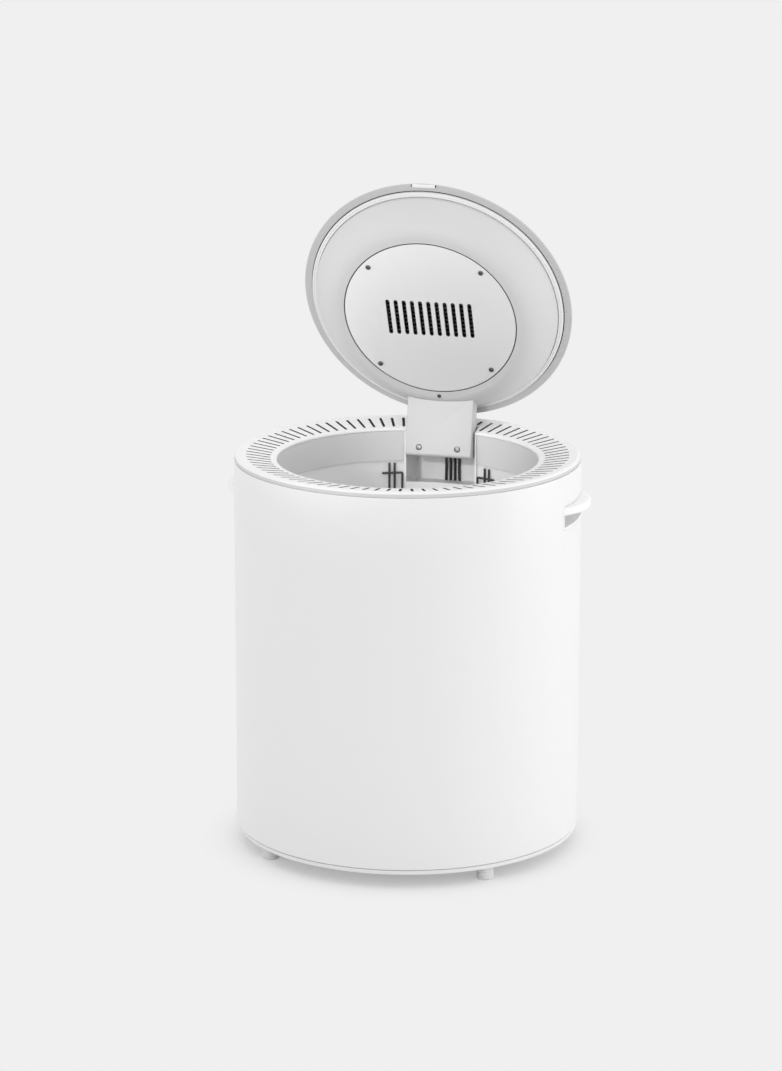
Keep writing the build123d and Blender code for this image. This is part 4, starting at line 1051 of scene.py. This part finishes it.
def plate_seal():
    """A thin black ring in the gap round the plate: painted shade for the gap's shadow."""
    inner = PLATE_RADIUS + PLATE_SHADE_GAP
    outer = PLATE_RADIUS + PLATE_GAP
    face = PLATE_SHADE_RECESS - PLATE_DROP
    back = PLATE_WALL - PLATE_DROP
    outline = [(inner, face), (outer, face), (outer, back), (inner, back)]
    # The black finish here is painted shade.
    lid_piece("plate_seal", outline, "cable", "cable_black")


vent_plate()
plate_seal()

# %% [markdown]
# ## Marks on the touch panel
# The panel on the lid's top has three round keys and a row of indicator dots, printed in a pale
# ink that stands a hair proud of the glass.

# %% Panel marks
PANEL_INSET = 69 * MM
LID_DEPTH = 28 * MM
PANEL_TOP = LID @ at(0, PANEL_INSET - LID_RADIUS, LID_DEPTH)
KEY_RADIUS = 5 * MM
KEY_PITCH = 26 * MM
KEY_ROW = -2.5 * MM
DOT_RADIUS = 0.7 * MM
DOT_PITCH = 4.5 * MM
DOT_ROW = 8.5 * MM
DOTS_EACH_SIDE = 3
INK_LINE = 0.6 * MM
INK_RISE = 0.06 * MM
KEY_SEGMENTS = 64
DOT_SEGMENTS = 24


def inked(inner, outer):
    """The outline of a ring or dot of ink."""
    return [(inner, 0), (outer, 0), (outer, INK_RISE), (inner, INK_RISE)]


def panel_marks():
    """Three key rings, each with a dot at its middle, and a row of dots behind them."""
    marks = on_set("panel_marks", bpy.data.meshes.new("panel_marks"))
    keys = [PANEL_TOP @ at(number * KEY_PITCH, KEY_ROW) for number in (-1, 0, 1)]
    numbers = range(-DOTS_EACH_SIDE, DOTS_EACH_SIDE + 1)
    dots = [PANEL_TOP @ at(number * DOT_PITCH, DOT_ROW) for number in numbers]
    ring = turned("key_ring", inked(KEY_RADIUS - INK_LINE, KEY_RADIUS), segments=KEY_SEGMENTS)
    repeat(marks, ADD_AT_PLACES, ring, keys, "mark")
    dot = turned("ink_dot", inked(0, DOT_RADIUS), segments=DOT_SEGMENTS)
    repeat(marks, ADD_AT_PLACES, dot, keys + dots, "mark")
    settle(marks, "lid", "ring_white")


panel_marks()

# %% [markdown]
# ## Screws
# One pan head with a cross recess serves the plate, the underside, the arm and the feet, each
# in its own size: the head's radius and height, then the shank's radius and length. The adding
# tree puts a copy at each place. The plate's and the arm's screws are turned differently on each
# side, as screws driven by hand are.

# %% Screws
SCREW_SEGMENTS = 24
SMALL_STEPS = 3
HEAD_ROUND_SHARE = 0.75
RECESS_DEPTH_SHARE = 0.55
RECESS_WIDTH_SHARE = 0.24
RECESS_LENGTH_SHARE = 1.15
RECESS_CORNER_SHARE = 0.2
PLATE_SCREW = (3 * MM, 1.2 * MM, 1.5 * MM, 2.6 * MM)
LINER_SCREW = (2.4 * MM, 1 * MM, 1.4 * MM, 1.5 * MM)
FOOT_SCREW = (4 * MM, 2.4 * MM, 2 * MM, 11.4 * MM)
ARM_SCREW = (3.4 * MM, 1.4 * MM, 1.6 * MM, 5 * MM)
SCREW_TWIST = 300


def screw_mesh(head_radius, head_height, shank_radius, shank_length):
    """A pan head with a cross recess on a short shank, its head facing +Z from height 0."""
    outline = rounded(
        [
            (0, -shank_length, 0),
            (shank_radius, -shank_length, 0),
            (shank_radius, 0, 0),
            (head_radius, 0, 0),
            (head_radius, head_height, head_height * HEAD_ROUND_SHARE),
            (0, head_height, 0),
        ],
        steps=SMALL_STEPS,
    )
    screw = on_set("screw", turned("screw", outline, segments=SCREW_SEGMENTS))
    depth = head_height * RECESS_DEPTH_SHARE
    short = head_radius * RECESS_WIDTH_SHARE
    long = head_radius * RECESS_LENGTH_SHARE
    corner = short * RECESS_CORNER_SHARE
    for width, length in ((short, long), (long, short)):
        top = at(0, 0, head_height)
        cut(screw, slab("recess", width / 2, -length / 2, length / 2, corner, depth, top))
    mesh = screw.data
    bpy.data.objects.remove(screw)
    return mesh


def screw_set(name, node_name, body, head, places):
    """Copies of one screw at several places, for one CAD node."""
    screws = on_set(name, bpy.data.meshes.new(name))
    repeat(screws, ADD_AT_PLACES, screw_mesh(*head), places, "screw")
    settle(screws, body, "screw_steel", node_name)


plate_places = [
    LID @ at(x, y, -PLATE_DROP) @ UPSIDE_DOWN @ spun(x * SCREW_TWIST)
    for x in (-PLATE_SCREW_SPAN, PLATE_SCREW_SPAN)
    for y in (-PLATE_SCREW_SPAN, PLATE_SCREW_SPAN)
]
screw_set("plate_screw_set", "plate_screws", "lid", PLATE_SCREW, plate_places)
liner_screw = on_set("liner_screw", screw_mesh(*LINER_SCREW), "screw")
liner_screw.data.transform(LID @ at(0, PLUG_CURVE_START, -PLATE_DROP) @ UPSIDE_DOWN)
settle(liner_screw, "lid", "screw_steel")

FOOT_COUNT = 4
FOOT_HEIGHT = 16 * MM
FOOT_REACH = SHELL_RADIUS - 18 * MM
FOOT_SCREW_SEAT = -2.5 * MM
foot_angles = [math.pi / 4 + number * math.tau / FOOT_COUNT for number in range(FOOT_COUNT)]
foot_places = [spun(angle, FOOT_REACH, FOOT_SCREW_SEAT) @ UPSIDE_DOWN for angle in foot_angles]
screw_set("foot_screw_set", "foot_screws", "cabinet", FOOT_SCREW, foot_places)

# %% [markdown]
# ## The arm
# The arm's hood is drawn from the side, in the plane that cuts the lid from front to hinge. It
# is hollow behind its face, its long edges are rounded, and the lid's plug is cut out of its
# root, as the two meet on the plug's flank.

# %% Arm hood
ARM_HALF_WIDTH = 38 * MM
ARM_WALL = 2.5 * MM
ARM_FACE_LENGTH = 59 * MM
ARM_ROOT = 16 * MM
ARM_DEPTH = 20 * MM
ARM_LEAN = math.radians(33.7)
ARM_TOE = Vector((HINGE_REACH - 7.3 * MM, -68.9 * MM))
ARM_ALONG = Vector((-math.cos(ARM_LEAN), math.sin(ARM_LEAN)))
ARM_INWARD = Vector((math.sin(ARM_LEAN), math.cos(ARM_LEAN)))
ARM_EDGE = 1.3 * MM
ARM_EDGE_STEPS = 4
TOE_EDGE = 4 * MM
HEEL_EDGE = 3 * MM
KNUCKLE_EDGE = 6 * MM
HOLLOW_EDGE = 2 * MM
KNUCKLE_RADIUS = 8 * MM
PIVOT = Vector((HINGE_REACH, -HINGE_DROP))
PIN_HOLE = 4.06 * MM
PIN_SEGMENTS = 48
ARM_SCREW_RISE = 10 * MM
ARM_SCREW_HALF_SPAN = 22.3 * MM
ARM_SCREW_TURN = 0.6
LID_SIDE = LID @ FACING_X


def on_arm(length, depth, radius):
    """A corner of the arm's side view: so far up its face, so far in from it, rounded so much."""
    place = ARM_TOE + ARM_ALONG * length + ARM_INWARD * depth
    return (place.x, place.y, radius)


def bevel_sides(mesh, half_width):
    """Rounds the edges round both ends of a prism that still lies along Z."""
    shape = bmesh.new()
    shape.from_mesh(mesh)
    edges = [
        edge for edge in shape.edges
        if all(abs(abs(corner.co.z) - half_width) < MERGE_DISTANCE for corner in edge.verts)
        and edge.verts[0].co.z * edge.verts[1].co.z > 0
    ]
    bmesh.ops.bevel(
        shape, geom=edges, offset=ARM_EDGE, segments=ARM_EDGE_STEPS, profile=0.5, affect="EDGES",
        clamp_overlap=True,
    )
    shape.to_mesh(mesh)
    shape.free()


def arm_hood():
    """The pale hood from the lid's plug to the pin."""
    root = ARM_FACE_LENGTH + ARM_ROOT
    side = rounded([
        on_arm(root, 0, 0),
        on_arm(0, 0, TOE_EDGE),
        on_arm(0, ARM_DEPTH, HEEL_EDGE),
        (PIVOT.x + KNUCKLE_RADIUS, PIVOT.y - KNUCKLE_RADIUS / 2, HEEL_EDGE),
        (PIVOT.x + KNUCKLE_RADIUS, PIVOT.y + KNUCKLE_RADIUS, KNUCKLE_EDGE),
        (PIVOT.x - KNUCKLE_RADIUS, PIVOT.y + KNUCKLE_RADIUS, HEEL_EDGE),
        on_arm(ARM_FACE_LENGTH / 2, ARM_DEPTH, TOE_EDGE),
        on_arm(root, ARM_DEPTH, 0),
    ])
    mesh = prism("arm_cover", side, -ARM_HALF_WIDTH, ARM_HALF_WIDTH)
    bevel_sides(mesh, ARM_HALF_WIDTH)
    mesh.transform(LID_SIDE)
    # The arm's grey is painted shade on white plastic.
    hood = on_set("arm_cover", mesh, "arm")
    space_width = ARM_HALF_WIDTH - ARM_WALL
    beyond = 3 * ARM_DEPTH
    space = rounded([
        on_arm(root + OVERRUN, ARM_WALL, 0),
        on_arm(ARM_WALL, ARM_WALL, HOLLOW_EDGE),
        on_arm(ARM_WALL, beyond, 0),
        on_arm(root + OVERRUN, beyond, 0),
    ])
    plug = [
        (0, -PLATE_DROP - SEAT_GAP),
        *plug_side(SEAT_GAP),
        (PLUG_RADIUS + SEAT_GAP, GASKET_BOTTOM - SEAT_GAP),
        (LID_RADIUS, GASKET_BOTTOM - SEAT_GAP),
        (LID_RADIUS, PLATE_DROP),
        (0, PLATE_DROP),
    ]
    low, high = -SHELL_RADIUS, SHELL_RADIUS
    bore = [(0, low), (PIN_HOLE, low), (PIN_HOLE, high), (0, high)]
    cut(
        hood,
        prism("arm_space", space, -space_width, space_width, LID_SIDE),
        turned("plug", plug, LID),
        turned("pin_hole", bore, LID_SIDE @ at(*PIVOT), segments=PIN_SEGMENTS),
    )
    settle(hood, "lid", "ring_white", "arm_hood")


arm_hood()
face_out = Vector((0, -ARM_INWARD.x, -ARM_INWARD.y))
face_turn = Matrix((lid_across, face_out.cross(lid_across), face_out)).transposed().to_4x4()
screw_foot = ARM_TOE + ARM_ALONG * ARM_SCREW_RISE
arm_places = [
    LID @ at(side * ARM_SCREW_HALF_SPAN, *screw_foot) @ face_turn @ spun(side * ARM_SCREW_TURN)
    for side in (-1, 1)
]
screw_set("arm_screw_set", "hood_screws", "lid", ARM_SCREW, arm_places)

# %% [markdown]
# ## Feet
# One rubber foot is turned with its grip grooves and its deep screw hole, and repeated four times.

# %% Feet
FOOT_RADIUS = 9.5 * MM
FOOT_SOCKET = 1.5 * MM
FOOT_BORE = 4.3 * MM
FOOT_SCREW_HOLE = 2.1 * MM
FOOT_GROOVE = 0.7 * MM
GROOVE_SHARES = (0.3, 0.5, 0.7)
FOOT_EDGE = 1.5 * MM
BORE_EDGE = 0.6 * MM
FOOT_SEGMENTS = 48


def rubber_feet():
    """Four feet, each with three grooves round it."""
    side = [(FOOT_RADIUS, FOOT_SOCKET, 0)]
    for share in GROOVE_SHARES:
        level = -FOOT_HEIGHT * share
        side += [
            (FOOT_RADIUS, level + FOOT_GROOVE, FINE_EDGE),
            (FOOT_RADIUS - FOOT_GROOVE, level, CRISP_EDGE),
            (FOOT_RADIUS, level - FOOT_GROOVE, FINE_EDGE),
        ]
    outline = rounded(
        side
        + [
            (FOOT_RADIUS, -FOOT_HEIGHT, FOOT_EDGE),
            (FOOT_BORE, -FOOT_HEIGHT, BORE_EDGE),
            (FOOT_BORE, FOOT_SCREW_SEAT, 0),
            (FOOT_SCREW_HOLE, FOOT_SCREW_SEAT, 0),
            (FOOT_SCREW_HOLE, FOOT_SOCKET, 0),
        ],
        steps=SMALL_STEPS,
    )
    feet = on_set("rubber_feet", bpy.data.meshes.new("rubber_feet"))
    places = [spun(angle, FOOT_REACH) for angle in foot_angles]
    foot = turned("foot", outline, segments=FOOT_SEGMENTS)
    repeat(feet, ADD_AT_PLACES, foot, places, "rubber")
    settle(feet, "cabinet", "rubber_grey", "foot_pads")


rubber_feet()

# %% [markdown]
# ## Wires and cables
# Round wire is bent, never mitred, so each wire is a path whose corners are rounded before the
# curve gets its thickness. The rack's wires follow the drum's wall, so their points are given by
# the angle from the back, the distance from the drum's axis and the height.

# %% Wire rack
WIRE_RADIUS = 1.25 * MM
RACK_RADIUS = MOUTH_RADIUS + RING_WALL - WIRE_RADIUS
RACK_BAR_RADIUS = RACK_RADIUS - 1.5 * WIRE_RADIUS
RACK_TOP = SHELL_TOP - 40 * MM
RACK_BOTTOM = RACK_TOP - 256 * MM
RACK_SIDE = math.asin(55.3 * MM / RACK_RADIUS)
RACK_PAIR = 6 * MM / RACK_RADIUS
RACK_BAR = 22.8 * MM / RACK_BAR_RADIUS
RACK_BAR_DROPS = (11 * MM, 126 * MM)
RACK_HOOK_DROP = 18 * MM
WIRE_BEND = 3 * WIRE_RADIUS
WIRE_ROUNDNESS = 3
BEND_STEPS = 6
BAR_STEPS = 8
RAIL_STEPS = 24


def bent(points, radius):
    """A path past points, with each inner corner eased by a curve of about this radius."""
    path = [points[0]]
    for before, here, after in zip(points, points[1:], points[2:]):
        back = (before - here).normalized()
        ahead = (after - here).normalized()
        room = min((before - here).length, (after - here).length) / 2
        reach = min(radius / math.tan(back.angle(ahead) / 2), room)
        for step in range(BEND_STEPS + 1):
            share = step / BEND_STEPS
            path.append(here + back * reach * (1 - share) ** 2 + ahead * reach * share**2)
    path.append(points[-1])
    return path


def round_wires(name, paths, radius, finish):
    """One curve object with a round spline along each path."""
    curve = bpy.data.curves.new(name, "CURVE")
    curve.dimensions = "3D"
    curve.bevel_depth = radius
    curve.bevel_resolution = WIRE_ROUNDNESS
    curve.use_fill_caps = True
    for path in paths:
        spline = curve.splines.new("POLY")
        spline.points.add(len(path) - 1)
        for point, place in zip(spline.points, path):
            point.co = (*place, 1)
    return on_set(name, curve, finish)


def by_wall(turn, reach, height):
    """A place at an angle from the back, a distance from the axis and a height."""
    return Vector((math.sin(turn) * reach, math.cos(turn) * reach, height))


def along_wall(start, end, height, steps):
    """Points for a bar or rail along the wall from one angle to another."""
    turns = [start + (end - start) * step / steps for step in range(steps + 1)]
    return [by_wall(turn, RACK_BAR_RADIUS, height) for turn in turns]


def wire_rack():
    """Upright pairs, cross bars, a hook on each upper bar, and the bottom rail."""
    paths = []
    for side in (-1, 1):
        middle = side * RACK_SIDE
        for turn in (middle - RACK_PAIR / 2, middle + RACK_PAIR / 2):
            paths.append([by_wall(turn, RACK_RADIUS, height) for height in (RACK_BOTTOM, RACK_TOP)])
        outer = middle + side * RACK_BAR / 2
        inner = middle - side * RACK_BAR / 2
        for number, drop in enumerate(RACK_BAR_DROPS):
            bar = along_wall(outer, inner, RACK_TOP - drop, BAR_STEPS)
            if number == 0:
                bar.append(by_wall(inner, RACK_BAR_RADIUS, RACK_TOP - drop - RACK_HOOK_DROP))
            paths.append(bent(bar, WIRE_BEND))
    rail_end = RACK_SIDE + RACK_PAIR / 2
    paths.append(along_wall(-rail_end, rail_end, RACK_BOTTOM + WIRE_RADIUS, RAIL_STEPS))
    rack = round_wires("bent_wire_rack", paths, WIRE_RADIUS, "wire")
    settle(rack, "cabinet", "wire_chrome", "wire_rack")


wire_rack()

# %% Cables in the hinge well
CABLE_RADIUS = 1.5 * MM
CABLE_PITCH = 5.2 * MM
CABLE_COUNT = 4
CABLE_OFFSET = 2.7 * MM
CABLE_BEND = 9 * MM
CABLE_SWAY = 0.4 * MM
CABLE_SWAY_STEP = 0.25 * MM
CABLE_BOW = 0.5 * MM
BOW_SHARE = 0.35
STRAIGHT_SHARE = 0.7


def well_cables():
    """Four insulated wires that rise from the well's floor, straight but for a small sway."""
    low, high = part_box("hinge_cables")
    back = middle_of("hinge_cables").y
    rise = high.z - low.z
    paths = []
    for number in range(CABLE_COUNT):
        middle = CABLE_OFFSET + (number - (CABLE_COUNT - 1) / 2) * CABLE_PITCH
        sway = CABLE_SWAY - CABLE_SWAY_STEP * number
        paths.append(bent([
            Vector((middle, back, low.z)),
            Vector((middle + sway, back - CABLE_BOW, low.z + rise * BOW_SHARE)),
            Vector((middle, back, low.z + rise * STRAIGHT_SHARE)),
            Vector((middle, back, high.z)),
        ], CABLE_BEND))
    cables = round_wires("well_cables", paths, CABLE_RADIUS, "cable")
    settle(cables, "cabinet", "cable_black", "hinge_cables")


well_cables()
